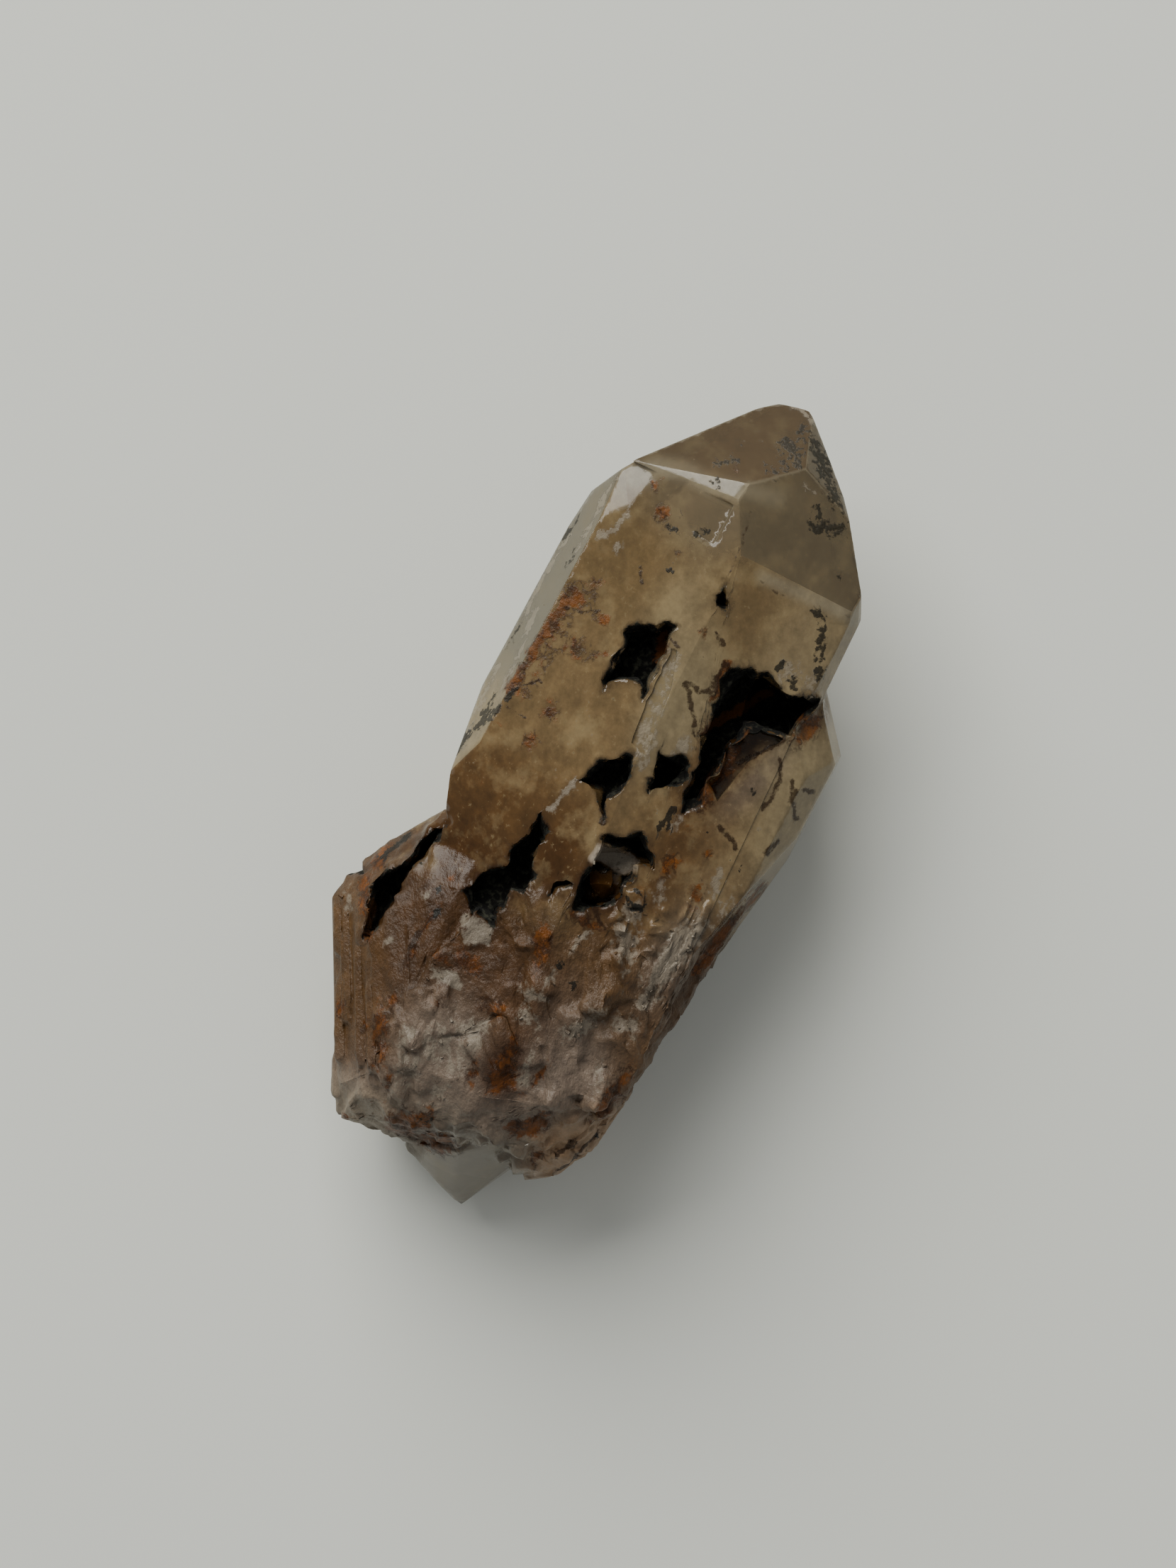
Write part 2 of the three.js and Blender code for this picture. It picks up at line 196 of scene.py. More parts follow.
def line_distance(plan: np.ndarray, points: Points) -> np.ndarray:
    """Gives each plan place's distance from a line of straight stretches.

    Args:
        plan: places as rows of x and y.
        points: the line's corners, in order.

    Returns:
        One distance for each place, in millimetres.
    """
    nearest = np.full(len(plan), np.inf)
    for start, end in zip(points[:-1], points[1:]):
        along = np.subtract(end, start)
        share = np.clip((plan - start) @ along / max(along @ along, 1e-9), 0, 1)
        away = np.linalg.norm(plan - start - share[:, None] * along, axis=1)
        nearest = np.minimum(nearest, away)
    return nearest


@dataclass(frozen=True)
class Outline:
    """A closed outline on the stone's upper side, in plan millimetres."""

    points: Points
    strength: float = 1.0

    def weigh(self, plan: np.ndarray) -> np.ndarray:
        """Gives the strength inside the outline and less over half a millimetre at its rim."""
        return self.strength * np.clip(self.inside(plan) / 0.5 + 0.6, 0, 1)

    def inside(self, plan: np.ndarray) -> np.ndarray:
        """Gives each plan place's depth inside the outline, in millimetres and negative outside.

        Args:
            plan: places as rows of x and y.

        Returns:
            One signed distance for each place.
        """
        crossed = np.zeros(len(plan), dtype=bool)
        closed = self.points + self.points[:1]
        for start, end in zip(closed[:-1], closed[1:]):
            spans = (start[1] > plan[:, 1]) != (end[1] > plan[:, 1])
            rise = end[1] - start[1] or 1e-9
            reach = start[0] + (plan[:, 1] - start[1]) * (end[0] - start[0]) / rise
            crossed ^= spans & (plan[:, 0] < reach)
        return line_distance(plan, closed) * np.where(crossed, 1, -1)


@dataclass(frozen=True)
class Plan:
    """The plan frame's place in the row: the point and the left crest fix it."""

    tip_x: float = 41.228
    crest_y: float = 17.8

    def middle(self) -> Vector:
        """Gives the plan's origin in the row, in metres."""
        _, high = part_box(NODE)
        return Vector((high.x - self.tip_x * MM, high.y - self.crest_y * MM, 0))

    def places(self, row: np.ndarray) -> np.ndarray:
        """Turns rows of x, y and z in metres into plan millimetres with their height."""
        return (row - np.array(self.middle())) / MM


# The dark etched hollows of the main crystal and of the left bundle.
HOLLOWS = (
    Outline(((10, 4.2), (13, 4), (16.4, 4.2), (17, 3.1), (17.3, 2), (18.2, 1.4), (17.9, 0.4), (16, 0.6),
        (11, 0.1), (11.8, 1.2), (11.5, 2.4), (11, 3.3))),
    Outline(((1.5, 2.1), (3.2, 1.6), (4.4, 0.9), (5.1, -0.1), (6, -0.4), (5.8, -1.3), (4.5, -1.7),
        (3.8, -2.1), (2.8, -1.5), (1.5, -1.2), (-0.6, -1.4), (0.8, -0.6), (1.8, -0.1), (2, 0.8))),
    Outline(((-13.4, 3.2), (-13, 6), (-12.2, 7.2), (-10, 6.4), (-8.8, 5.7), (-8.3, 4.9), (-6, 4.8),
        (-5, 4.2), (-3.5, 4.1), (-2.5, 3.6), (-3.8, 2.6), (-6.3, 2.9), (-8, 1.6), (-9.6, 2), (-9.8, 3))),
    Outline(((3.3, -3.9), (4.5, -3.3), (6, -3.5), (7.3, -3.1), (7.3, -4), (7.8, -4.9), (7.4, -6),
        (6, -6.4), (4.8, -5.8), (4.4, -4.9))),
    Outline(((3.4, -7.1), (8, -6.6), (12, -5.8), (14, -5.4), (17.3, -5.2), (17.6, -6.5), (18, -7.3),
        (17.4, -7.8), (18.1, -8.7), (17.5, -9.6), (17.2, -11.6), (17.8, -12.8), (17.8, -14.1),
        (15, -13.4), (13.4, -12.9), (13.1, -10.8), (12.4, -9.6), (11, -8.9), (8, -8.5), (3.8, -8.7))),
    Outline(((21.2, -1.5), (23.7, -1.5), (22.6, -2.1), (22, -3), (21.4, -2.7))),
    Outline(((-9, -2.6), (-7, -1.9), (-4.3, -2), (-4, -3.4), (-4.3, -5), (-3.4, -5.9), (-1.9, -5.4),
        (-2.1, -3.4), (-2.8, -2.3), (-1.6, -2), (-0.9, -3.5), (-0.1, -5), (-0.4, -6.2), (-2.2, -7.4),
        (-2.6, -6), (-4, -6), (-7, -5.6), (-8.6, -4))),
    Outline(((-8.7, 0.4), (-7.8, 0.1), (-6.7, -0.8), (-6.9, -1.6), (-8, -0.6))),
    Outline(((-20, 13.4), (-18, 13.3), (-16.8, 14.1), (-15.6, 14.7), (-13.5, 14.3), (-12, 12.9),
        (-9, 12.4), (-7.2, 11.2), (-9, 11.1), (-11, 11.9), (-13.5, 12.4), (-15, 12.1), (-17, 12.8),
        (-19.6, 12.6))),
    Outline(((-15.5, 17.9), (-14.2, 17.4), (-14.5, 16.2), (-15.2, 16.2))),
)

# What stands clear in the ring-shaped hollow: a small white crystal and a rounded brown grain.
STANDING = (
    Outline(((-4.2, -2), (-2.9, -2.1), (-2.3, -3.2), (-2.2, -5), (-3, -5.9), (-4, -5.2), (-3.7, -3.6))),
    Outline(((-7, -3), (-5.5, -2.7), (-4.6, -3.8), (-4.8, -5.1), (-6.2, -5.3), (-7.2, -4.4))),
)

RUST = (
    # The main crystal, with its hollows.
    Trace(((6.5, 11.4), (10, 11.1), (13.5, 10.7), (17, 10.3)), 0.6, 1.5),
    Spot(10.5, 9.9, 6, 0.9, 0.8, -3), Spot(16.4, 9.7, 0.9, 0.9, 1.3), Spot(17.6, 8.8, 1.2, 0.8),
    Spot(2.8, 7.6, 0.8, 0.7, 1.2), Spot(6.2, 7.3, 0.9, 0.7, 1.4), Spot(12.4, 7.5, 0.9, 1.2, 1.2),
    Spot(15.8, 6.9, 0.5, 0.9), Trace(((11.6, 9.4), (11.8, 7), (12.6, 5.8), (13.2, 5)), 0.35, 1.1),
    Spot(-0.2, 7, 0.5, 0.6, 0.8), Spot(26.6, 6.3, 0.6, 0.6, 1.6), Spot(28.8, 7.8, 0.7, 0.7, 0.8),
    Spot(25.9, 4.3, 0.7, 0.5, 0.8), Spot(33.3, 1.8, 0.8, 0.6, 0.8), Spot(24, 3.3, 0.4, 0.3, 0.9),
    Spot(15.9, 0.9, 1.5, 0.5, 1.6, 10),
    Trace(((11.2, -6), (12.6, -7.2), (14.4, -8.2), (16.8, -9.8)), 0.6, 1.4),
    Spot(8, -9.1, 4, 0.6, 1.3, -5), Trace(((13.6, -5.2), (17.4, -5)), 0.35, 1.2),
    Spot(15.3, -14.2, 2, 0.9, 1.4, -15), Spot(-2.6, -11.8, 1.2, 0.8, 1.1),
    Spot(1, -11.2, 0.7, 0.4, 0.9), Spot(-1.4, -8.4, 1.6, 1, 0.8),
    Trace(((-9, -15.3), (-4, -15.9), (0.5, -17.2)), 0.7, 1.2), Spot(18.6, -1.8, 0.8, 0.8, 0.6),
    # The root.
    Spot(-27, 8, 2.6, 0.7, 1.4, 22), Spot(-23.6, 8.3, 1.4, 0.5, 1.1, 10),
    Spot(-26.6, 12.5, 1, 0.4, 1.2, 20), Spot(-26.8, 9.7, 0.7, 0.35, 1.1),
    Spot(-30.3, 5.6, 1.2, 0.4, 1.1, 10), Spot(-30, 7.3, 0.9, 0.4, 1.1, 20),
    Spot(-33.6, 2.5, 1.3, 1.6, 1.7), Spot(-33.7, -1, 1.1, 1.8, 1.7), Spot(-32, 0.9, 1, 0.6, 1.5),
    Spot(-35.8, 7.8, 0.5, 0.5, 1.3), Spot(-25.3, -3.4, 1.6, 1.3, 1.6),
    Spot(-22.8, -3.1, 1.1, 0.8, 1.3), Spot(-26.4, -1, 1.3, 0.5, 1, 20),
    Spot(-28.6, -7.4, 1.8, 0.9, 1.7, -50), Spot(-27.3, -8.6, 0.8, 0.8, 1.5),
    Spot(-31, -9.6, 1.2, 0.5, 1.1, 10), Spot(-22.5, -13.3, 3, 0.8, 1.4, -4),
    Spot(-23.5, -6.5, 2, 0.3, 1.1, -10), Spot(-17.4, 3.8, 0.7, 1.6, 1.6, -10),
    Spot(-18.2, 6, 0.5, 0.9, 1.2), Spot(-22, 4.5, 0.7, 0.4, 1.4), Spot(-13, -1.4, 1.8, 0.7, 1.5, 15),
    Spot(-9.3, -3.8, 0.6, 1.5, 1.5), Spot(-20, 0, 0.8, 1.6, 0.9),
    Spot(-16.5, 14.9, 1.9, 0.5, 1.5, 30), Spot(-13, 15.4, 1.6, 0.5, 1.5, -20),
    Spot(-19.3, 13, 0.6, 0.5, 1.3), Spot(-15.2, 8.6, 1.6, 0.4, 1.5, -8),
    Spot(-19, 8.8, 1.5, 0.4, 1.2, 5), Spot(-10.7, 8.3, 1, 0.4, 0.9, -20),
)

FROST = (
    # The main crystal: streaks of the glassy side, the clear strip and bright flakes.
    Trace(((-0.5, 12.9), (8, 13.5)), 0.3, 1.2), Trace(((6, 12), (14, 12.5)), 0.3, 1.2),
    Trace(((12, 13.4), (23, 13)), 0.3, 1.2), Trace(((20, 11.7), (28, 11.4)), 0.3, 1.2),
    Outline(((5.4, -1), (11, -0.2), (16, 0.3), (16.2, -1), (13, -1.7), (9, -2.1), (6.5, -2.5),
        (5.2, -2.6)), 0.9),
    Spot(5.8, -2.2, 0.7, 0.5, 1.5), Spot(9, -1.2, 0.9, 0.7, 1.4), Spot(14, -0.8, 1, 0.6, 1.2),
    Spot(8.6, -4.9, 1, 0.7, 1.5, -35), Trace(((-2, 3.3), (-0.3, 3), (1.5, 2.3)), 0.3, 1.6),
    Trace(((22.4, 10.4), (23.2, 9.5), (26.4, 8.8)), 0.4, 1.4), Spot(22.1, 8.3, 0.5, 0.4, 1.5),
    Spot(29.6, 9.6, 0.4, 0.4, 1.3), Spot(2.3, -7.3, 0.8, 0.6, 1.2),
    Spot(-0.8, -13.2, 1.5, 0.4, 1.3, 10), Spot(-2.4, -15, 1.4, 0.6), Spot(19, -10.3, 1.3, 1.1, 1.1),
    Spot(19.2, -12.8, 1, 0.8), Trace(((41, 0.8), (41.1, -1), (40.4, -2.4)), 0.4, 1.3),
    Trace(((34.5, -4.4), (34.4, -5.6)), 0.25, 1.3),
    Outline(((-4.1, -2.1), (-2.9, -2.2), (-2.4, -3.2), (-2.3, -5), (-3, -5.8), (-3.9, -5.1),
        (-3.7, -3.4)), 1.6),
    # The white ledge and the flakes near it.
    Spot(-9.5, -12.4, 4.6, 1, 1.6, -4), Spot(-6.8, -13.4, 2.6, 0.8, 1.5, -14),
    Spot(-13.6, -12, 1, 0.8, 1.4), Spot(-9.5, -8.2, 2.6, 1.2, 1.3, 28), Spot(-6.6, -7.4, 1.4, 1, 1.2),
    Spot(-4, -8.8, 1.6, 0.8, 1, 10), Trace(((-12.6, -4.2), (-11.2, -4.1), (-10.1, -4.6)), 0.3, 1.5),
    Spot(-16.2, -11.6, 0.8, 1.2, 1.4), Spot(-17.8, -8, 2.2, 0.8, 1.4, -32),
    Spot(-21.5, -11.3, 1.8, 0.6, 1.1, 10),
    # The root's white crystals.
    Outline(((-16.1, 5), (-13.6, 6.7), (-13.4, 3.2), (-15.2, 2.7)), 1.3),
    Outline(((-20, 3.4), (-20.1, 6.4), (-19.3, 7), (-18.7, 4.6), (-19, 3)), 1.2),
    Spot(-22.8, 0.6, 1.5, 1.1, 1.6), Spot(-26.2, 5.8, 1.4, 0.6, 1.4), Spot(-28.5, 4.2, 2.2, 1.2, 1.1),
    Spot(-25, 3, 2.6, 1.6, 1.1), Spot(-29.5, 1, 1.6, 1.3), Spot(-26, 0.5, 2, 1, 1.1),
    Spot(-24, -5.2, 2.6, 0.5, 1.2, 8), Spot(-19.5, -3.2, 0.8, 1.2, 1.3),
    Spot(-17.4, -2.6, 0.7, 1.2, 1.4, 10), Spot(-15.4, -3.4, 0.9, 0.5, 1.3), Spot(-34, 6, 1.5, 2, 0.9),
    Spot(-17.5, 16.3, 1.2, 0.3, 1.2, 30), Spot(-19, 11.2, 0.6, 0.4, 1.2),
    Spot(-13.8, 9.8, 0.5, 0.4, 1.2),
)

INK = (
    # The point.
    Spot(25.7, 4.8, 0.5, 0.5, 1.2), Spot(26.8, 2, 0.9, 0.5, 1.1, -40),
    Spot(22.3, 3.3, 0.45, 0.45, 1.2), Spot(31.2, 3, 0.4, 0.6), Spot(33.2, 3.4, 0.9, 0.4, 1.2, -35),
    Spot(33.9, 2.5, 0.5, 0.5), Spot(35.5, 2.8, 0.3, 0.3, 1.2), Spot(34.5, -0.9, 0.5, 0.8),
    Spot(36.4, -2.6, 1, 0.6, 1.2), Spot(37.5, -1.3, 0.9, 1, 1.3), Spot(35.6, -1.6, 1.4, 1, 0.7),
    Spot(39.3, -1.8, 1, 0.5, 1.1), Spot(32, -7.4, 0.6, 1.5, 1.3, 20), Spot(33, -6.3, 1, 0.4, 1.1, 30),
    Spot(32.4, -8.7, 1, 0.6, 1.2, -20), Spot(37.4, -4.6, 3, 0.8, 1.3, 48),
    Spot(35, -7, 1.8, 0.7, 1.1, 55), Spot(28.7, -10.7, 0.5, 0.25, 1.1, 20),
    # The glassy side.
    Spot(0, 13.2, 1.6, 0.3, 1.5), Trace(((1, 12.9), (2.5, 12.3), (4.2, 11.8), (6.6, 10.8)), 0.35, 1.4),
    Trace(((3.2, 12.6), (5.4, 12.4)), 0.25, 1.2), Spot(11.5, 13.3, 1.8, 0.3),
    Spot(19.4, 11.8, 1.2, 0.25), Trace(((20.5, 13.3), (23.5, 12.9)), 0.25, 1.1),
    # By the large hollow and the right edge.
    Spot(24.8, -10.4, 0.35, 1.2, 1.2), Spot(22.6, -11.8, 2.3, 0.6, 1.15, 20),
    Spot(20.6, -12.9, 0.5, 0.6, 1.2), Spot(19, -9.5, 0.55, 0.35, 1.6, -30),
    Spot(18.4, -11.2, 0.6, 0.4, 1.6, 45), Spot(19.9, -13, 0.3, 0.6, 1.5),
    Spot(2.9, -10.2, 0.35, 0.3, 1.5), Trace(((1, -6.2), (3.2, -6.6)), 0.35, 1.7),
    Trace(((1.2, -6.2), (1.5, -7.2)), 0.35, 1.6), Spot(7.8, -12.6, 0.6, 0.3, 1, 40),
    Spot(1, -14.5, 0.3, 0.3),
    # The root.
    Spot(-13, 9, 0.5, 0.4, 1.5), Spot(-14.8, 8.3, 0.5, 0.3, 1.5), Spot(-14, -3.7, 0.3, 0.4, 1.6),
    Spot(-15, -5.6, 0.4, 0.3, 1.6), Trace(((-5.6, -6.4), (-6.4, -7.2), (-5.8, -8)), 0.3, 1.4),
    Trace(((-4.6, -6.6), (-5.2, -7.7)), 0.3, 1.3),
    Trace(((-12.8, 15.2), (-11, 14.5), (-9.8, 14)), 0.35, 1.4), Spot(-32, 0.9, 0.4, 0.3, 1.2),
    Spot(-23.6, -3.8, 0.4, 0.3, 1.2), Spot(-26.5, -13.8, 0.4, 0.25, 1.3),
)

CRACKS = (
    Trace(((9.6, -6), (11.2, -4.6), (12.4, -3.8), (13.8, -2.6))), Trace(((18.3, -4), (19.1, -3.2))),
    Trace(((14, -2.8), (13.6, -3.8), (14.2, -4.8), (17.4, -4.9))),
    Trace(((7, -14), (9.8, -14.1), (11.6, -13.2))),
    Trace(((7.4, -17.2), (8.6, -16), (10.3, -15.2)), 0.32), Trace(((8.6, -16), (9.8, -15.8))),
    Trace(((3.2, -15.9), (4.8, -16.4))), Trace(((10, -16.4), (10.3, -17.2))),
    Trace(((2.6, -13.4), (3.7, -11))), Trace(((9.6, -10.2), (11.4, -11.4), (13.2, -12.6))),
    Trace(((-0.8, -1.4), (0.4, -1))),
    Trace(((-31.8, -12), (-29.5, -12.8), (-28, -13.2), (-26.2, -13.8)), 0.32),
    Trace(((-29.6, -11.2), (-28, -12.3))), Trace(((-18.6, 9.2), (-16.4, 8.9), (-14.4, 8.2)), 0.32),
    Trace(((-9.3, -5.8), (-8.1, -4.6)), 0.32),
    Trace(((24.2, -1.6), (27.5, -1.4), (30.6, -0.9)), 0.22, 0.7),
    Trace(((20.2, 5.2), (21.4, 5.7)), 0.28, 0.8), Trace(((25.6, 5.6), (26.3, 4), (27.6, 5)), 0.22, 0.7),
    Trace(((16.8, 0.3), (16.4, -0.4)), 0.28), Trace(((24.8, -3.4), (25.1, -5), (24.6, -7)), 0.22, 0.7),
    Trace(((7, 10.9), (8.2, 9.4), (7.9, 8.6)), 0.24, 0.9), Trace(((4.9, 10.9), (4.6, 9.2)), 0.24, 0.8),
    Trace(((15, 10.4), (15.4, 8.6), (16.3, 7.4)), 0.24, 0.9),
)


@dataclass(frozen=True)
class Tint:
    """A tone laid on one part of the stone, soft at its rim."""

    tone: Tone
    mark: Spot | Trace | Outline
    facing: Facing = Facing.ANY


TINTS = (
    # The point.
    Tint(Tone.SMOKY, Spot(36, 3, 6, 6, 8), Facing.LARGE_TIP),
    # Painted highlight: the wedge facet's pale arc and thin pale lines along the point's facet edges.
    Tint(Tone.ARC, Spot(31.5, 3, 3, 7, 9), Facing.LIGHT_WEDGE),
    Tint(Tone.ARC, Trace(((28.6, 9.8), (30.3, 8.6), (31.2, 6), (31, 3.4), (31.8, 0.5),
        (32.4, -2.4)), 0.7, 5)),
    Tint(Tone.ARC, Trace(((25.5, -4.5), (25.8, -9), (26, -13.4)), 0.5, 2)),
    Tint(Tone.SMOKY_GREY, Spot(31, -7, 7, 7, 8), Facing.GREY_TIP),
    Tint(Tone.SMOKY_GREY, Spot(37, -5, 5, 6, 8), Facing.RIGHT_TIP),
    # The upper left face, from the window near the point to the neck.
    Tint(Tone.WINDOW, Spot(28, 3, 2.2, 3, 2)), Tint(Tone.HONEY, Spot(22, 6, 5, 4)),
    Tint(Tone.SAND, Spot(20, 1, 3, 2)), Tint(Tone.TAN, Spot(11, 7.5, 6, 4)),
    Tint(Tone.TAN, Spot(5, 4, 4, 3)), Tint(Tone.BROWN, Spot(-1.5, 5, 3, 3)),
    Tint(Tone.BROWN, Spot(-5, 9, 4, 3)), Tint(Tone.UMBER, Spot(-9, 9, 2.4, 3)),
    Tint(Tone.UMBER, Spot(-4, 1.4, 3, 1.5)),
    # The upper right face.
    Tint(Tone.HONEY, Spot(23, -5, 4, 4)), Tint(Tone.SAND, Spot(22, -10, 4, 2.4)),
    Tint(Tone.SAND, Spot(13, -2.5, 5, 1.5)), Tint(Tone.TAN, Spot(1, -4, 3, 2)),
    Tint(Tone.BROWN, Spot(0, -8.5, 4, 3)), Tint(Tone.TAN, Spot(0, -12.5, 5, 2)),
    Tint(Tone.UMBER, Spot(9.5, -10, 3, 0.9, 1.6, -15)), Tint(Tone.GREY, Spot(8, -12, 3, 1, 1, -18)),
    Tint(Tone.UMBER, Spot(16.5, -14.6, 1.5, 1)), Tint(Tone.CHALK, STANDING[0]),
    Tint(Tone.UMBER, Spot(-5.9, -4, 1.3, 1.4, 3)), Tint(Tone.SAND, Spot(8, -16.2, 7, 2.4)),
    Tint(Tone.UMBER, Spot(-6, -15.5, 5, 1)),
    # The glassy side.
    Tint(Tone.PALE, Spot(18, 12.5, 8.5, 9, 30), Facing.GLASSY_SIDE),
    Tint(Tone.SAND, Spot(3, 12.5, 3.5, 9, 20), Facing.GLASSY_SIDE),
    # The root, its rusty corner and the white ledge.
    Tint(Tone.UMBER, Spot(-17, 3, 3, 5)), Tint(Tone.UMBER, Spot(-11, 9, 2.6, 1.8, 5)),
    Tint(Tone.MAUVE, Spot(-19, -3, 3, 3)), Tint(Tone.LILAC, Spot(-27, 3, 4.5, 3)),
    Tint(Tone.RUSTY, Spot(-25, -3.4, 2.6, 1.4, 1.3)), Tint(Tone.LILAC, Spot(-22.5, -9.2, 3, 2.2, 2)),
    Tint(Tone.LILAC, Spot(-29.5, -3.4, 1.6, 2.6, 2)), Tint(Tone.GREY, Spot(-20, -6, 4, 1.6)),
    Tint(Tone.BROWN, Spot(-13, -7.2, 3.4, 2)), Tint(Tone.GREY, Spot(-9, -12.6, 6, 1.4)),
    Tint(Tone.BROWN, Spot(-16, -12.5, 4, 2)), Tint(Tone.PEACH, Spot(-29.5, -12, 3, 1.7, 3, -12)),
    Tint(Tone.RUSTY, Spot(-33.6, 0.8, 1.4, 3, 2)),
    # The left bundle and its pale lobe.
    Tint(Tone.BROWN, Spot(-14, 15.5, 4, 1.4)), Tint(Tone.UMBER, Spot(-19, 9.5, 5, 2.4)),
    Tint(Tone.UMBER, Spot(-11, 14.2, 3, 1.4, 2, -20)), Tint(Tone.BROWN, Spot(-24, 11.5, 6, 2, 1, 29)),
    Tint(Tone.MAUVE, Spot(-29, 8.4, 2, 1.6)), Tint(Tone.LILAC, Spot(-32, 7.5, 1.6, 2, 1.5)),
    Tint(Tone.MILK, Spot(-34.2, 6, 1.8, 2.4, 3)),
    # The clear shard.
    Tint(Tone.SHARD, Spot(-36, -4, 3.4, 5, 2.4)),
)


@dataclass
class StoneMesh:
    """The whole cluster as one fine mesh that follows the solid's faces."""

    mark_edge: float = 0.34 * MM  # beside the hollows' rims and the cracks
    fine_edge: float = 0.8 * MM
    coarse_edge: float = 2 * MM  # low down, where the stone turns under
    low: float = 7 * MM
    passes: int = 8
    rim: float = 0.45  # how far from a rim they reach, in plan millimetres
    drift: float = 0.3  # how far the marks' edges wander, in the same
    sink: float = 1.1 * MM  # the hollows are this much deeper than the solid's
    ragged: float = 0.55 * MM  # how far their rims wander
    sharp: float = 24.0  # edges bent more than this stay sharp, in degrees
    plan: Plan = field(default_factory=Plan)
    name: str = "citrine_cluster_stone"

    def build(self) -> Object:
        """Copies the solid's faces, splits them finely and gives them their fields and relief."""
        mesh = self.split_copy(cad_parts[NODE].data)
        stone = add_object(self.name, mesh)
        self.write_tints(mesh)
        self.write_fields(mesh)
        self.soften(mesh)
        self.roughen(mesh)
        mesh.shade_smooth()
        mesh.set_sharp_from_angle(angle=math.radians(self.sharp))
        log.info("stone: %d triangles", len(mesh.polygons))
        return stone

    def split_copy(self, source: Mesh) -> Mesh:
        """Copies a mesh, joins its doubles and halves its long edges until none is left.

        Args:
            source: the solid's mesh.

        Returns:
            A new mesh of small triangles with the same sharp edges, marked in the edge field.
        """
        bm = bmesh.new()
        bm.from_mesh(source)
        bmesh.ops.remove_doubles(bm, verts=bm.verts, dist=0.002 * MM)
        for _ in range(self.passes):
            edges = list(bm.edges)
            ends = np.array([[*e.verts[0].co, *e.verts[1].co] for e in edges])
            long_edges = [edges[i] for i in np.flatnonzero(self.too_long(ends[:, :3], ends[:, 3:]))]
            if not long_edges:
                break
            bmesh.ops.subdivide_edges(bm, edges=long_edges, cuts=1, use_grid_fill=False)
            bmesh.ops.triangulate(bm, faces=bm.faces, quad_method="SHORT_EDGE")
        # the point's sharp edges, for a pale line of rubbed quartz and painted highlight
        wear_and_highlight = bm.verts.layers.float.new(Field.EDGE.value)
        for edge in bm.edges:
            if len(edge.link_faces) == 2 and edge.calc_face_angle_signed(0) > math.radians(6):
                for vertex in edge.verts:
                    vertex[wear_and_highlight] = 1
        mesh = bpy.data.meshes.new(self.name)
        bm.to_mesh(mesh)
        bm.free()
        return mesh

    def too_long(self, first: np.ndarray, second: np.ndarray) -> np.ndarray:
        """Tells which edges are longer than they may be where they lie.

        Args:
            first: the edges' first ends, as rows in metres.
            second: their other ends.

        Returns:
            True for each edge that has to be halved.
        """
        lengths = np.linalg.norm(first - second, axis=1)
        top = np.maximum(first[:, 2], second[:, 2])
        limits = np.where(top > self.low, self.fine_edge, self.coarse_edge)
        doubtful = np.flatnonzero(
            (lengths > self.mark_edge) & (lengths <= limits) & (top > UPPER_FULL * MM)
        )
        plan = self.plan.places((first + second)[doubtful] / 2)[:, :2]
        rims = np.minimum.reduce([np.abs(outline.inside(plan)) for outline in HOLLOWS])
        cracks = np.maximum.reduce([crack.weigh(plan) for crack in CRACKS])
        near = (rims < self.rim) | (cracks > 0.15)
        limits[doubtful] = np.where(near, self.mark_edge, limits[doubtful])
        return lengths > limits

    def plan_places(self, mesh: Mesh) -> np.ndarray:
        """Gives the mesh's vertices in plan millimetres."""
        return self.plan.places(read_vectors(mesh.vertices, "co"))

    def write_tints(self, mesh: Mesh) -> None:
        """Blends the tones of all tints at each face corner and writes them as a colour field."""
        plan = self.plan_places(mesh)[:, :2]
        corners = np.empty(len(mesh.loops), dtype=np.int32)
        mesh.loops.foreach_get("vertex_index", corners)
        normals = read_vectors(mesh.polygon_normals, "vector")
        base = 0.02
        total = np.full(len(corners), base)
        blend = np.tile(Tone.TAN.values() * base, (len(corners), 1))
        for tint in TINTS:
            share = tint.mark.weigh(plan)[corners] * np.repeat(tint.facing.share(normals), 3)
            total += share
            blend += share[:, None] * tint.tone.values()
        layer = mesh.attributes.new(TINT, "FLOAT_COLOR", "CORNER")
        layer.data.foreach_set("color", (blend / total[:, None]).astype(np.float32).ravel())

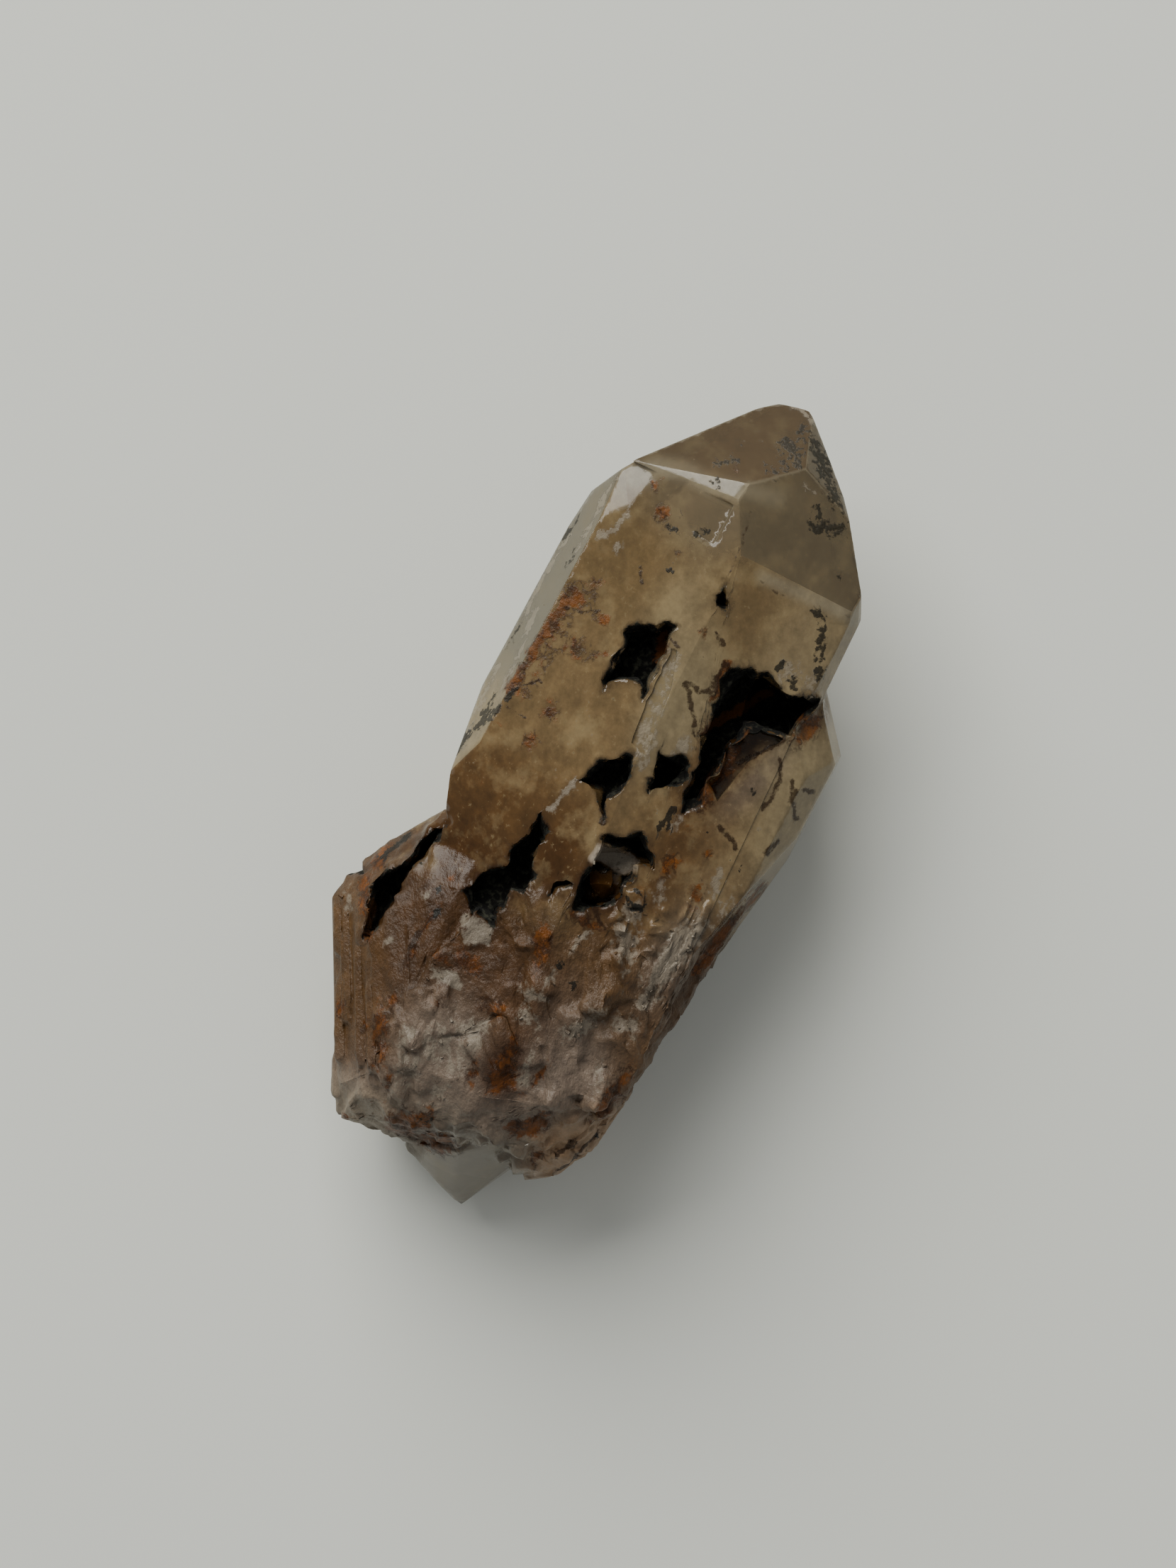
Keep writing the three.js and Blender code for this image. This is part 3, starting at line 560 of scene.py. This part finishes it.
    def write_fields(self, mesh: Mesh) -> None:
        """Writes the fields that the material reads, from the lists of marks above."""
        places = self.plan_places(mesh)
        above = places[:, 2] > UPPER_FROM
        drift = [evaluate(noise.noise, places * 0.9 + shift, above) for shift in (3.1, 57.7)]
        plan = places[:, :2] + self.drift * np.stack(drift, axis=1)
        upper = np.clip((places[:, 2] - UPPER_FROM) / (UPPER_FULL - UPPER_FROM), 0, 1)
        hollow = np.maximum.reduce([outline.inside(plan) for outline in HOLLOWS])
        standing = np.maximum.reduce([outline.inside(plan) for outline in STANDING])
        hollow = np.minimum(hollow, -standing - 0.35)
        marks = {Field.RUST: RUST, Field.FROST: FROST, Field.INK: INK, Field.CRACK: CRACKS}
        values = {
            key: np.maximum.reduce([mark.weigh(plan) for mark in listed]) * upper
            for key, listed in marks.items()
        }
        root = np.clip((-6 - plan[:, 0] - 0.2 * plan[:, 1]) / 6, 0, 1)
        shard = np.clip((-31 - plan[:, 0]) / 2, 0, 1) * np.clip(-plan[:, 1], 0, 1)
        frosted = np.clip(values[Field.FROST] - 0.45, 0, 1)
        values |= {
            Field.HOLLOW: np.where(above, hollow, -2),
            Field.ROOT: root * (1 - shard),
            Field.SUGAR: frosted * (plan[:, 0] < -3) * (hollow < 0),
            # the point's edges only: a pale line of rubbed quartz with a painted highlight
            Field.EDGE: read_field(mesh, Field.EDGE) * (plan[:, 0] > 30.6) * upper,
        }
        for key, numbers in values.items():
            layer = mesh.attributes.get(key.value) or mesh.attributes.new(key.value, "FLOAT", "POINT")
            layer.data.foreach_set("value", numbers.astype(np.float32))

    def soften(self, mesh: Mesh) -> None:
        """Rounds the broken root well and every crystal edge a little, and leaves the base flat."""
        places = read_vectors(mesh.vertices, "co")
        edges = np.empty(len(mesh.edges) * 2, dtype=np.int32)
        mesh.edges.foreach_get("vertices", edges)
        first, second = edges.reshape(-1, 2).T
        neighbours = np.bincount(edges, minlength=len(places))[:, None]
        share = 0.06 + 0.22 * read_field(mesh, Field.ROOT) * (self.plan_places(mesh)[:, 0] < -10)
        share = np.where(places[:, 2] < 0.5 * MM, 0, share)[:, None]
        for _ in range(4):
            total = np.zeros_like(places)
            np.add.at(total, first, places[second])
            np.add.at(total, second, places[first])
            places = places + share * (total / neighbours - places)
        mesh.vertices.foreach_set("co", places.ravel())
        mesh.update()

    def roughen(self, mesh: Mesh) -> None:
        """Moves the vertices: chips and grain on the root, ridges on the bundle, ragged hollows."""
        places = read_vectors(mesh.vertices, "co")
        normals = read_vectors(mesh.vertex_normals, "vector")
        grain = self.plan_places(mesh)
        hollow = read_field(mesh, Field.HOLLOW)
        root = read_field(mesh, Field.ROOT)
        bundle = np.clip((grain[:, 1] - 7) / 3, 0, 1) * np.clip((-9 - grain[:, 0]) / 4, 0, 1)
        chipped = root * (1 - bundle)
        turned = np.stack([*turn_axes(grain, ROOT_HEADING), grain[:, 2]], axis=1)
        high = grain[:, 2] > UPPER_FULL

        reliefs = (  # height in millimetres, where, form, its fineness along, across and up
            (0.34, chipped, chip_height, (0.24, 0.42, 0.42)),
            (0.14, chipped, chip_height, (0.7, 1.1, 1.1)),
            (0.14, chipped, noise.noise, (0.5, 1.0, 1.0)),
            (0.34, bundle, noise.noise, (0.07, 1.1, 0.5)),
        )
        raised = 0.04 * evaluate(noise.noise, grain * 0.16)
        for height, share, form, fineness in reliefs:
            raised += height * share * evaluate(form, turned * fineness, share > FAINT)
        inside = np.clip(hollow * 2, 0, 1)
        raised += 0.4 * inside * evaluate(noise.noise, grain * 0.8, inside > FAINT)
        raised = np.where(grain[:, 2] > 0.5, raised, 0)
        places = places + normals * (raised * MM)[:, None]
        places[:, 2] -= self.sink * np.clip(hollow / 0.35, 0, 1) * high

        near = np.exp(-((hollow / 0.9) ** 2)) * high
        for axis, shift in ((0, 11.3), (1, 47.9)):
            push = evaluate(noise.noise, grain * 0.75 + shift, near > 0.05)
            places[:, axis] += self.ragged * near * push
        mesh.vertices.foreach_set("co", places.ravel())
        mesh.update()


def chip_height(place: Vector) -> float:
    """Gives the height of a broken surface, where each cell is a flat with a tilt of its own."""
    seed = noise.voronoi(place)[1][0]
    tilt = noise.cell_vector(seed * 7.3) * 2 - Vector((1, 1, 1))
    return (place - seed).dot(tilt)


def evaluate(
    pattern: Callable[[Vector], float], places: np.ndarray, where: np.ndarray | None = None
) -> np.ndarray:
    """Runs a pattern at each place, or only where it is needed.

    Args:
        pattern: gives a number for a place.
        places: rows of x, y and z, already scaled to the pattern's grain.
        where: true for the places that need it, or nothing for all of them.

    Returns:
        One number for each place, 0 where it isn't needed.
    """
    numbers = np.zeros(len(places))
    chosen = np.arange(len(places)) if where is None else np.flatnonzero(where)
    numbers[chosen] = [pattern(Vector(places[i])) for i in chosen]
    return numbers


def add_object(name: str, data: ID) -> Object:
    """Adds an object to the scene.

    Args:
        name: its name.
        data: its mesh, light or camera.

    Returns:
        The new object.
    """
    thing = bpy.data.objects.new(name, data)
    bpy.context.scene.collection.objects.link(thing)
    return thing


def read_vectors(items: bpy_prop_collection, name: str) -> np.ndarray:
    """Reads a vector of each item of a mesh as rows of x, y and z.

    Args:
        items: the mesh's vertices or their normals.
        name: the property to read.

    Returns:
        An array with one row for each item.
    """
    flat = np.empty(len(items) * 3)
    items.foreach_get(name, flat)
    return flat.reshape(-1, 3)


def read_field(mesh: Mesh, key: Field) -> np.ndarray:
    """Reads one of the mesh's fields as an array."""
    numbers = np.empty(len(mesh.vertices), dtype=np.float32)
    mesh.attributes[key.value].data.foreach_get("value", numbers)
    return numbers


def add_node(tree: NodeTree, kind: str, **settings: object) -> Node:
    """Adds a node, and sets its properties and inputs.

    Args:
        tree: the tree that gets the node.
        kind: the node's type name.
        settings: a property by its name, or an input by its name with underscores for spaces, or
            by its place as i0, i1 and so on. A socket given as a value is linked.

    Returns:
        The new node.
    """
    node = tree.nodes.new(kind)
    sockets = []
    for name, value in settings.items():
        if hasattr(node, name):
            setattr(node, name, value)
        else:
            sockets.append((name, value))
    for name, value in sockets:
        if name[0] == "i" and name[1:].isdigit():
            socket = node.inputs[int(name[1:])]
        else:
            socket = node.inputs[name.replace("_", " ")]
        if isinstance(value, Socket):
            tree.links.new(value, socket)
        else:
            socket.default_value = value
    return node


@dataclass(frozen=True)
class CloudyCitrine:
    """Natural citrine: smoky yellow-brown quartz, see-through where the light finds no veil.

    Its clean faces are glassy. The root is broken and satin, milky in streaks, and stained by
    iron oxide, and the hollows are lined with dark soil.
    """

    frost: str = "#7d7568"
    veil: str = "#a8966f"
    rust_deep: str = "#2a1606"
    rust_bright: str = "#6a3a08"
    rust_hollow: str = "#54300f"
    ink: str = "#12110c"
    crack: str = "#241405"
    lining: str = "#0b0a08"
    lining_pale: str = "#34342b"
    # the pale edge colour: rubbed quartz with a painted highlight
    wear_and_highlight: str = "#c4b698"
    absorb: str = "#cda566"
    density: float = 22.0  # per metre
    refraction: float = 1.544
    glassy: float = 0.12  # the roughness of clean faces
    satin: float = 0.42  # the roughness of broken and stained ones
    relief: float = 0.3 * MM
    name: str = "natural citrine, grown faces and broken root"

    def material(self) -> Material:
        """Builds the stone's material from the mesh's fields and fine noise.

        Returns:
            The material.
        """
        material = bpy.data.materials.new(self.name)
        material.use_nodes = True
        material.node_tree.nodes.clear()
        QuartzNodes(self, material.node_tree).build()
        return material


@dataclass
class QuartzNodes:
    """The nodes of the stone's material: the mesh's fields, noises, and ragged masks made of both."""

    finish: CloudyCitrine
    tree: NodeTree

    def __post_init__(self) -> None:
        """Adds the nodes that read the mesh's fields, then the noises and the masks."""
        self.fields = {key: self.add("Attribute", "Fac", attribute_name=key.value) for key in Field}
        self.tint = self.add("Attribute", "Color", attribute_name=TINT)
        self.tone_clear = self.tint.node.outputs["Alpha"]
        self.grains = self.add_grains()
        self.masks = self.add_masks()

    def add(self, kind: str, output: int | str = 0, **settings: object) -> Socket:
        """Adds a shader node, named without its first word, and gives one of its outputs."""
        return add_node(self.tree, "ShaderNode" + kind, **settings).outputs[output]

    def build(self) -> None:
        """Joins the patterns in one shader, with absorption in its depth."""
        finish, masks = self.finish, self.masks
        dull = self.add("Math", operation="MAXIMUM", i0=masks["stained"], i1=self.fields[Field.ROOT])
        rough = self.add("MapRange", Value=dull, To_Min=finish.glassy, To_Max=finish.satin)
        surface = self.add(
            "BsdfPrincipled",
            Base_Color=self.colour(),
            Roughness=self.add("Math", operation="MAXIMUM", i0=rough, i1=masks["hollow"]),
            IOR=finish.refraction,
            Specular_IOR_Level=0.2,
            Transmission_Weight=self.clearness(),
            Normal=self.relief(dull),
        )
        depth = self.add("VolumeAbsorption", Color=linear(finish.absorb), Density=finish.density)
        add_node(self.tree, "ShaderNodeOutputMaterial", Surface=surface, Volume=depth)

    def add_grains(self) -> dict[str, Socket]:
        """Adds the noises that the patterns share.

        Returns:
            Each noise by its name, a number of about 0.3 to 0.7. The one named vein is 1 on thin
            winding lines and 0 between them.
        """
        place = self.add("TexCoord", "Object")
        lie = (0, 0, math.radians(ROOT_HEADING))
        streaks = self.add(
            "Mapping", vector_type="TEXTURE", Vector=place, Rotation=lie, Scale=(1.5, 1, 1)
        )
        sizes = {  # the size of the largest feature in millimetres, finer layers, coordinates
            "coarse": (3.2, 5.0, place),
            "middle": (1.5, 6.0, place),
            "fine": (0.55, 4.0, place),
            "streak": (0.9, 5.0, streaks),
            "fibre": (0.35, 3.0, streaks),
        }
        grains = {
            name: self.add(
                "TexNoise", "Fac", Vector=at, Scale=1 / (size * MM), Detail=detail, Roughness=0.62
            )
            for name, (size, detail, at) in sizes.items()
        }
        middle = self.add("Math", operation="SUBTRACT", i0=grains["coarse"], i1=0.5)
        aside = self.add("Math", operation="ABSOLUTE", i0=middle)
        grains["vein"] = self.add("MapRange", Value=aside, From_Max=0.035, To_Min=1.0, To_Max=0.0)
        return grains

    def ragged(
        self, value: Socket, grain: str, level: float, reach: float, soft: float, full: float = 1.0
    ) -> Socket:
        """Turns a soft field into a patch whose edge is broken up by a noise.

        Args:
            value: the field.
            grain: the name of the noise that breaks its edge.
            level: the field's value at the edge.
            reach: how far the noise moves the edge, in the field's own units.
            soft: half the width of the edge, in the same units.
            full: how much of the patch covers what lies under it.

        Returns:
            0 outside and full inside.
        """
        moved = self.add("Math", operation="MULTIPLY_ADD", i0=self.grains[grain], i1=reach, i2=value)
        middle = level + reach / 2
        return self.add(
            "MapRange",
            interpolation_type="SMOOTHSTEP",
            Value=moved,
            From_Min=middle - soft,
            From_Max=middle + soft,
            To_Max=full,
        )

    def add_masks(self) -> dict[str, Socket]:
        """Turns the fields into ragged masks for what lies on the quartz.

        Returns:
            Each mask by its name. The one named stained covers all that isn't bare quartz.
        """
        fields = self.fields
        flaky, spotted = (
            self.add("Math", operation="MULTIPLY_ADD", i0=self.grains["fine"], i1=reach, i2=fields[key])
            for key, reach in ((Field.FROST, 2.4), (Field.RUST, 1.4))
        )
        masks = {
            "frost": self.ragged(flaky, "streak", 2.05, 2.6, 0.35, 0.72),
            "rust": self.ragged(spotted, "middle", 1.5, 2.4, 0.3, 0.92),
            "ink": self.ragged(fields[Field.INK], "fine", 0.8, 3.4, 0.16, 0.92),
            "crack": self.ragged(fields[Field.CRACK], "fine", 0.7, 1.8, 0.2, 0.9),
            "hollow": self.ragged(fields[Field.HOLLOW], "fine", 0.02, 1.0, 0.08),
            "halo": self.ragged(fields[Field.HOLLOW], "fine", -0.3, 1.6, 0.25, 0.4),
            # the pale edge line: rubbed quartz with a painted highlight
            "wear_and_highlight": self.ragged(fields[Field.EDGE], "middle", 0.7, 1.6, 0.25, 0.4),
        }
        veined = self.ragged(fields[Field.RUST], "coarse", 0.4, 1.4, 0.2, 0.8)
        masks["vein"] = self.add("Math", operation="MULTIPLY", i0=veined, i1=self.grains["vein"])
        stained = masks["hollow"]
        for name in ("frost", "rust", "ink", "crack", "vein"):
            stained = self.add("Math", operation="MAXIMUM", i0=stained, i1=masks[name])
        return {**masks, "stained": stained}

    def colour(self) -> Socket:
        """Lays frost, rust, ink and the hollows' lining over the mottled quartz.

        Returns:
            The colour.
        """
        finish, grains, masks = self.finish, self.grains, self.masks
        body = self.tint
        mottles = (  # veils, streaks along the root's grain, and the fine speckle of small flaws
            ("coarse", 0.78, 1.25),
            ("middle", 0.84, 1.18),
            ("streak", 0.84, 1.16),
            ("fine", 0.88, 1.14),
        )
        for name, dark, light in mottles:
            level = self.add(
                "MapRange", Value=grains[name], From_Min=0.3, From_Max=0.7, To_Min=dark, To_Max=light
            )
            body = self.add("VectorMath", operation="SCALE", Vector=body, Scale=level)
        smooth = self.add("MapRange", Value=self.tone_clear, From_Min=0.35, From_Max=0.62, To_Max=0.75)
        body = self.add("Mix", 2, data_type="RGBA", i0=smooth, i6=body, i7=self.tint)

        blends = (
            ("middle", 0.38, 0.66, finish.rust_deep, finish.rust_bright),
            ("fine", 0.5, 0.68, finish.lining, finish.lining_pale),
        )
        stain, lining = (
            self.add(
                "Mix",
                2,
                data_type="RGBA",
                i0=self.add("MapRange", Value=grains[name], From_Min=low, From_Max=high),
                i6=linear(dark),
                i7=linear(light),
            )
            for name, low, high, dark, light in blends
        )
        grown = self.add(
            "Math", operation="SUBTRACT", i0=1.0, i1=self.fields[Field.ROOT], use_clamp=True
        )
        flaws = (  # cloudy veils and bright specks inside the grown crystal
            ("coarse", 0.5, 0.7, 0.4),
            ("fine", 0.62, 0.72, 0.45),
        )
        layers = []
        for name, low, high, most in flaws:
            share = self.add("MapRange", Value=grains[name], From_Min=low, From_Max=high, To_Max=most)
            share = self.add("Math", operation="MULTIPLY", i0=grown, i1=share)
            layers.append((share, linear(finish.veil)))
        rust_inside = self.add("Math", operation="MULTIPLY", i0=masks["rust"], i1=masks["hollow"])
        layers += [
            # pale edge line: rubbed quartz with a painted highlight
            (masks["wear_and_highlight"], linear(finish.wear_and_highlight)),
            (masks["frost"], linear(finish.frost)),
            (masks["rust"], stain),
            (masks["vein"], linear(finish.rust_deep)),
            (masks["crack"], linear(finish.crack)),
            (masks["ink"], linear(finish.ink)),
            (masks["halo"], linear(finish.rust_deep)),
            (masks["hollow"], lining),
            (rust_inside, linear(finish.rust_hollow)),
        ]
        for share, over in layers:
            body = self.add("Mix", 2, data_type="RGBA", i0=share, i6=body, i7=over)
        return body

    def clearness(self) -> Socket:
        """Lets light into bare quartz by its tone's clearness, and none through what covers it."""
        bare = self.add(
            "MapRange", Value=self.masks["stained"], From_Min=0.4, From_Max=0.9, To_Min=1.0, To_Max=0.0
        )
        return self.add("Math", operation="MULTIPLY", i0=self.tone_clear, i1=bare)

    def relief(self, dull: Socket) -> Socket:
        """Gives the fine relief: faint growth marks on clean faces, fibres and grain elsewhere.

        Args:
            dull: 1 where the surface is broken or stained.

        Returns:
            The normal.
        """
        fine, fibre = self.grains["fine"], self.grains["fibre"]
        height = self.add("Mix", data_type="FLOAT", i0=self.fields[Field.ROOT], i2=fine, i3=fibre)
        strength = self.add("MapRange", Value=dull, To_Min=0.05, To_Max=0.6)
        return self.add("Bump", Height=height, Distance=self.finish.relief, Strength=strength)


@dataclass
class SugarGrains:
    """Small broken quartz splinters that cover the stone's root, made by a node tree."""

    density: float = 0.9  # grains per square millimetre where the field is full
    size: float = 0.26 * MM
    seed: int = 7
    name: str = "root_quartz_grains"

    def build(self, stone: Object, material: Material) -> Object:
        """Scatters the grains over the stone and turns them into one plain mesh.

        Args:
            stone: the object that they grow on.
            material: their finish.

        Returns:
            The new object, with all the grains in its mesh.
        """
        tree = self.tree(material)
        carrier = add_object("grain carrier", stone.data)
        modifier = carrier.modifiers.new("grains", "NODES")
        modifier.node_group = tree
        sizes = {"Density": self.density / MM**2, "Grain size": self.size, "Seed": self.seed}
        for item in tree.interface.items_tree:
            if item.name in sizes:
                modifier[item.identifier] = sizes[item.name]
        evaluated = carrier.evaluated_get(bpy.context.evaluated_depsgraph_get())
        mesh = bpy.data.meshes.new_from_object(evaluated)
        bpy.data.objects.remove(carrier)
        grains = add_object(self.name, mesh)
        log.info("%s: %d faces", self.name, len(mesh.polygons))
        return grains

    def tree(self, material: Material) -> NodeTree:
        """Builds the node tree: points on faces by the field, a six-sided splinter on each.

        Args:
            material: the splinters' finish.

        Returns:
            The tree, with the inputs Geometry, Density, Grain size and Seed.
        """
        tree = bpy.data.node_groups.new("scattered splinters", "GeometryNodeTree")
        sockets = (
            ("Geometry", "INPUT", "Geometry"),
            ("Density", "INPUT", "Float"),
            ("Grain size", "INPUT", "Float"),
            ("Seed", "INPUT", "Int"),
            ("Geometry", "OUTPUT", "Geometry"),
        )
        for name, way, kind in sockets:
            tree.interface.new_socket(name, in_out=way, socket_type="NodeSocket" + kind)
        add = partial(add_node, tree)
        given = add("NodeGroupInput").outputs
        sugar = add("GeometryNodeInputNamedAttribute", data_type="FLOAT", Name=Field.SUGAR.value)
        sugar = sugar.outputs["Attribute"]
        density = add("ShaderNodeMath", operation="MULTIPLY", i0=given["Density"], i1=sugar)
        points = add(
            "GeometryNodeDistributePointsOnFaces",
            Mesh=given["Geometry"],
            Density=density.outputs[0],
            Seed=given["Seed"],
        )
        splinter = add("GeometryNodeMeshCone", Vertices=6, Radius_Top=0.35, Radius_Bottom=0.8, Depth=1.7)
        turn = add(
            "FunctionNodeRandomValue",
            data_type="FLOAT_VECTOR",
            i0=(-math.pi, -math.pi, -math.pi),
            i1=(math.pi, math.pi, math.pi),
            Seed=given["Seed"],
        )
        scale = add("FunctionNodeRandomValue", data_type="FLOAT", i2=0.35, i3=1.0, Seed=given["Seed"])
        sized = add("ShaderNodeMath", operation="MULTIPLY", i0=scale.outputs[1], i1=given["Grain size"])
        spread = add(
            "GeometryNodeInstanceOnPoints",
            Points=points.outputs["Points"],
            Instance=splinter.outputs["Mesh"],
            Rotation=turn.outputs[0],
            Scale=sized.outputs[0],
        )
        solid = add("GeometryNodeRealizeInstances", Geometry=spread.outputs[0])
        dressed = add("GeometryNodeSetMaterial", Geometry=solid.outputs[0], Material=material)
        add("NodeGroupOutput", Geometry=dressed.outputs[0])
        return tree


@dataclass(frozen=True)
class MattePaper:
    """The pale sheet under the stone."""

    colour: str = "#dfe1da"
    roughness: float = 0.9
    sheen: float = 0.2  # its specular level
    name: str = "matte paper"

    def material(self) -> Material:
        """Builds the sheet's material.

        Returns:
            The material.
        """
        material = bpy.data.materials.new(self.name)
        material.use_nodes = True
        inputs = material.node_tree.nodes["Principled BSDF"].inputs
        inputs["Base Color"].default_value = linear(self.colour)
        inputs["Roughness"].default_value = self.roughness
        inputs["Specular IOR Level"].default_value = self.sheen
        return material


@dataclass
class Studio:
    """The plain pale floor, the soft light and the camera at the photograph's angle."""

    axis_turn: float = 26.5  # the long axis leans this far to the right of the picture's upright
    photo_width: int = 1659
    photo_height: int = 2212
    mm_per_pixel: float = 80 / 1233
    stone_pixel: tuple[float, float] = (835, 1140)  # where the plan's origin is in the photograph
    distance: float = 480 * MM
    traced_height: float = 15 * MM  # the level at which the outline was traced
    window: float = 1.1  # the light's side, in metres
    watts: float = 28.0
    plan: Plan = field(default_factory=Plan)

    def build(self) -> None:
        """Makes the floor, the light and the camera."""
        self.floor()
        self.lights()
        self.camera()

    def picture_axes(self) -> tuple[Vector, Vector]:
        """Gives the picture's right and up as directions on the floor."""
        turn = math.radians(self.axis_turn)
        right = Vector((math.sin(turn), -math.cos(turn), 0))
        up = Vector((math.cos(turn), math.sin(turn), 0))
        return right, up

    def camera(self) -> None:
        """Looks straight down with the photograph's framing."""
        right, up = self.picture_axes()
        shift_right = (self.photo_width / 2 - self.stone_pixel[0]) * self.mm_per_pixel * MM
        shift_up = (self.stone_pixel[1] - self.photo_height / 2) * self.mm_per_pixel * MM
        centre = self.plan.middle() + right * shift_right + up * shift_up
        data = bpy.data.cameras.new("camera")
        data.sensor_fit = "VERTICAL"
        data.sensor_height = 24
        frame_height = self.photo_height * self.mm_per_pixel * MM
        data.lens = data.sensor_height * self.distance / frame_height
        data.clip_start = 1 * MM
        data.clip_end = 10
        camera = add_object("camera", data)
        turn = Matrix((right, up, Vector((0, 0, 1)))).transposed().to_4x4()
        height = Vector((0, 0, self.traced_height + self.distance))
        camera.matrix_world = Matrix.Translation(centre + height) @ turn
        bpy.context.scene.camera = camera

    def floor(self) -> None:
        """Lays a plain pale sheet under the stone."""
        half = 1.5
        mesh = bpy.data.meshes.new("floor")
        corners = [(-half, -half, 0), (half, -half, 0), (half, half, 0), (-half, half, 0)]
        mesh.from_pydata(corners, [], [(0, 1, 2, 3)])
        floor = add_object("floor", mesh)
        mesh.materials.append(MattePaper().material())

    def lights(self) -> None:
        """Hangs a large soft light to the picture's upper left and a weak even sky."""
        right, up = self.picture_axes()
        target = Vector((0, 0, 10 * MM))
        place = target + (up * 0.95 - right * 0.38 + Vector((0, 0, 0.8)))
        data = bpy.data.lights.new("window", "AREA")
        data.size = self.window
        data.energy = self.watts
        data.color = linear("#fdfcf6")[:3]
        light = add_object("window", data)
        turn = place.to_track_quat("Z", "Y").to_matrix().to_4x4()
        light.matrix_world = Matrix.Translation(place) @ turn
        world = bpy.data.worlds.new("soft sky")
        world.use_nodes = True
        backdrop = world.node_tree.nodes["Background"]
        backdrop.inputs["Color"].default_value = linear("#e4e6e6")
        backdrop.inputs["Strength"].default_value = 0.4
        bpy.context.scene.world = world


def main() -> None:
    """Builds the stone, its grains and the studio, and reports each piece."""
    logging.basicConfig(level=logging.INFO, format="%(name)s: %(message)s")
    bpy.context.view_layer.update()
    stone = StoneMesh().build()
    quartz = CloudyCitrine().material()
    stone.data.materials.append(quartz)
    grains = SugarGrains().build(stone, quartz)
    for piece in (stone, grains):
        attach(piece, BODY)
    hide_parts(NODE)
    Studio().build()


if __name__ == "__main__":
    main()
